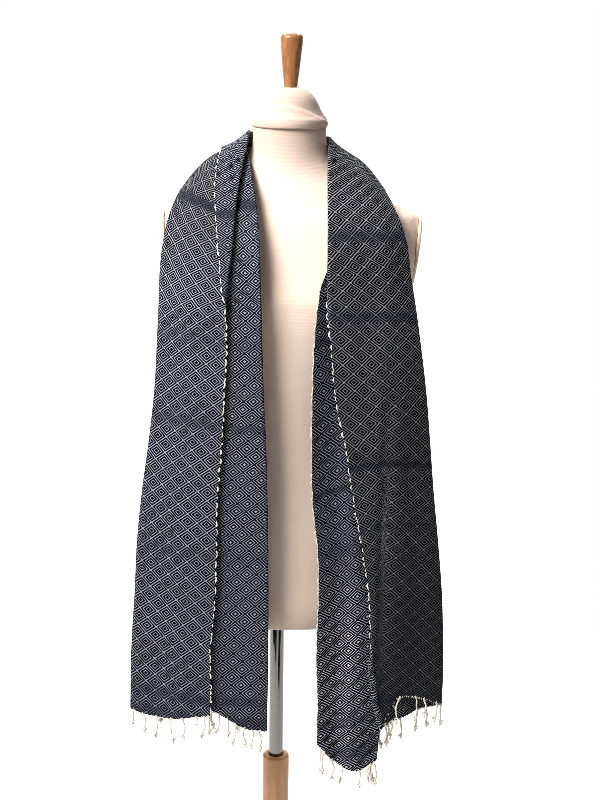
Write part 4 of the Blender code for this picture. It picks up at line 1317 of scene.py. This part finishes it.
def lights():
    """A key light, two broad soft lights, and a dim warm world that is white where it is seen."""
    for name, place, target, size, power, colour in (
            ("key", (-1.16, -1.12, 2.72), (0.0, 0.0, 1.15), (1.1, 1.1), 122, (1.0, 0.99, 0.985)),
            ("top", (0.0, 0.4, 3.6), (0.0, 0.4, 0.0), (3.0, 3.0), 16, WHITE),
            ("back_wash", (0.0, 1.6, 3.8), (0.0, 3.4, 0.8), (5.0, 1.5), 220, WHITE)):
        data = bpy.data.lights.new(name, "AREA")
        data.shape = "RECTANGLE"
        data.size, data.size_y = size
        data.energy = power
        data.color = colour
        add_object(name, data, place, (Vector(target) - Vector(place)).to_track_quat("-Z", "Y"))
    world = bpy.data.worlds.new("studio")
    bpy.context.scene.world = world
    world.use_nodes = True
    tree = world.node_tree
    dim = tree.nodes["Background"]
    dim.inputs["Color"].default_value = (1.0, 0.93, 0.87, 1.0)
    dim.inputs["Strength"].default_value = 0.08
    rays = tree.nodes.new("ShaderNodeLightPath")
    white_when_seen(tree, rays.outputs["Is Camera Ray"], dim, "Background", "World Output")


# Camera: height of the picture on the sensor in millimetres, the picture's height, focal length
# and horizon's shift in its pixels, the camera's place from the pole's axis and its two turns
SENSOR = 24.0
PICTURE_HEIGHT = 800.0
FOCAL_LENGTH = 1599.0
MIDDLE_ROW = 321.9
CAMERA_PLACE = AXIS + np.array((0.0305, -2.40, 1.63))
CAMERA_DOWN = 11
CAMERA_ROLL = 0.7


def camera():
    """The photograph's view: eye level, looking down."""
    data = bpy.data.cameras.new("camera")
    data.sensor_fit = "VERTICAL"
    data.sensor_height = SENSOR
    data.lens = SENSOR * FOCAL_LENGTH / PICTURE_HEIGHT
    data.shift_y = -(PICTURE_HEIGHT / 2 - MIDDLE_ROW) / PICTURE_HEIGHT
    turn = (Quaternion((1, 0, 0), radians(90 - CAMERA_DOWN))
            @ Quaternion((0, 0, 1), radians(CAMERA_ROLL)))
    bpy.context.scene.camera = add_object("camera", data, CAMERA_PLACE, turn)


camera()
stage()
lights()
bpy.context.scene.view_settings.view_transform = "Standard"
bpy.context.scene.cycles.filter_width = 0.55
bpy.context.scene.cycles.denoising_prefilter = "NONE"

krama, rolled, fringe_left, fringe_right, loops = build_cloth(
    yarn_material("cream_yarn", (0.860, 0.815, 0.730), (0.680, 0.615, 0.510)))
body, cap, knob, plates = build_form(
    jersey_material(), wood_material("varnished_wood", VARNISHED, 0.28, 0.6, UPRIGHT_GRAIN))
column, tube, legs = build_stand(
    wood_material("beech_upright", BEECH, 0.38, 0.15, UPRIGHT_GRAIN),
    wood_material("beech_level", BEECH, 0.38, 0.15, LEVEL_GRAIN), chrome_material())

for piece, slot in ((krama, "navy_cotton"), (rolled, "navy_cotton"),
                    (fringe_left, "cream_cotton"), (fringe_right, "cream_cotton"),
                    (loops, "cream_cotton"), (body, "cream_jersey"), (cap, "cream_jersey"),
                    (knob, "varnished_wood"), (plates[0], "cream_jersey"),
                    (plates[1], "cream_jersey")):
    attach(piece, "form")
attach(tube, "pole")
for piece in [column] + legs:
    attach(piece, "stand")

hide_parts("scarf_left_front", "scarf_neck", "scarf_right_front")
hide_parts("fringe_left")
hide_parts("fringe_right")
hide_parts("form_torso")
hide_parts("neck_cap")
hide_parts("finial")
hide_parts("armhole_plate_left")
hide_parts("armhole_plate_right")
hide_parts("pole")
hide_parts("column")
for number, leg in enumerate(legs):
    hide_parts("leg_%d" % (number + 1))
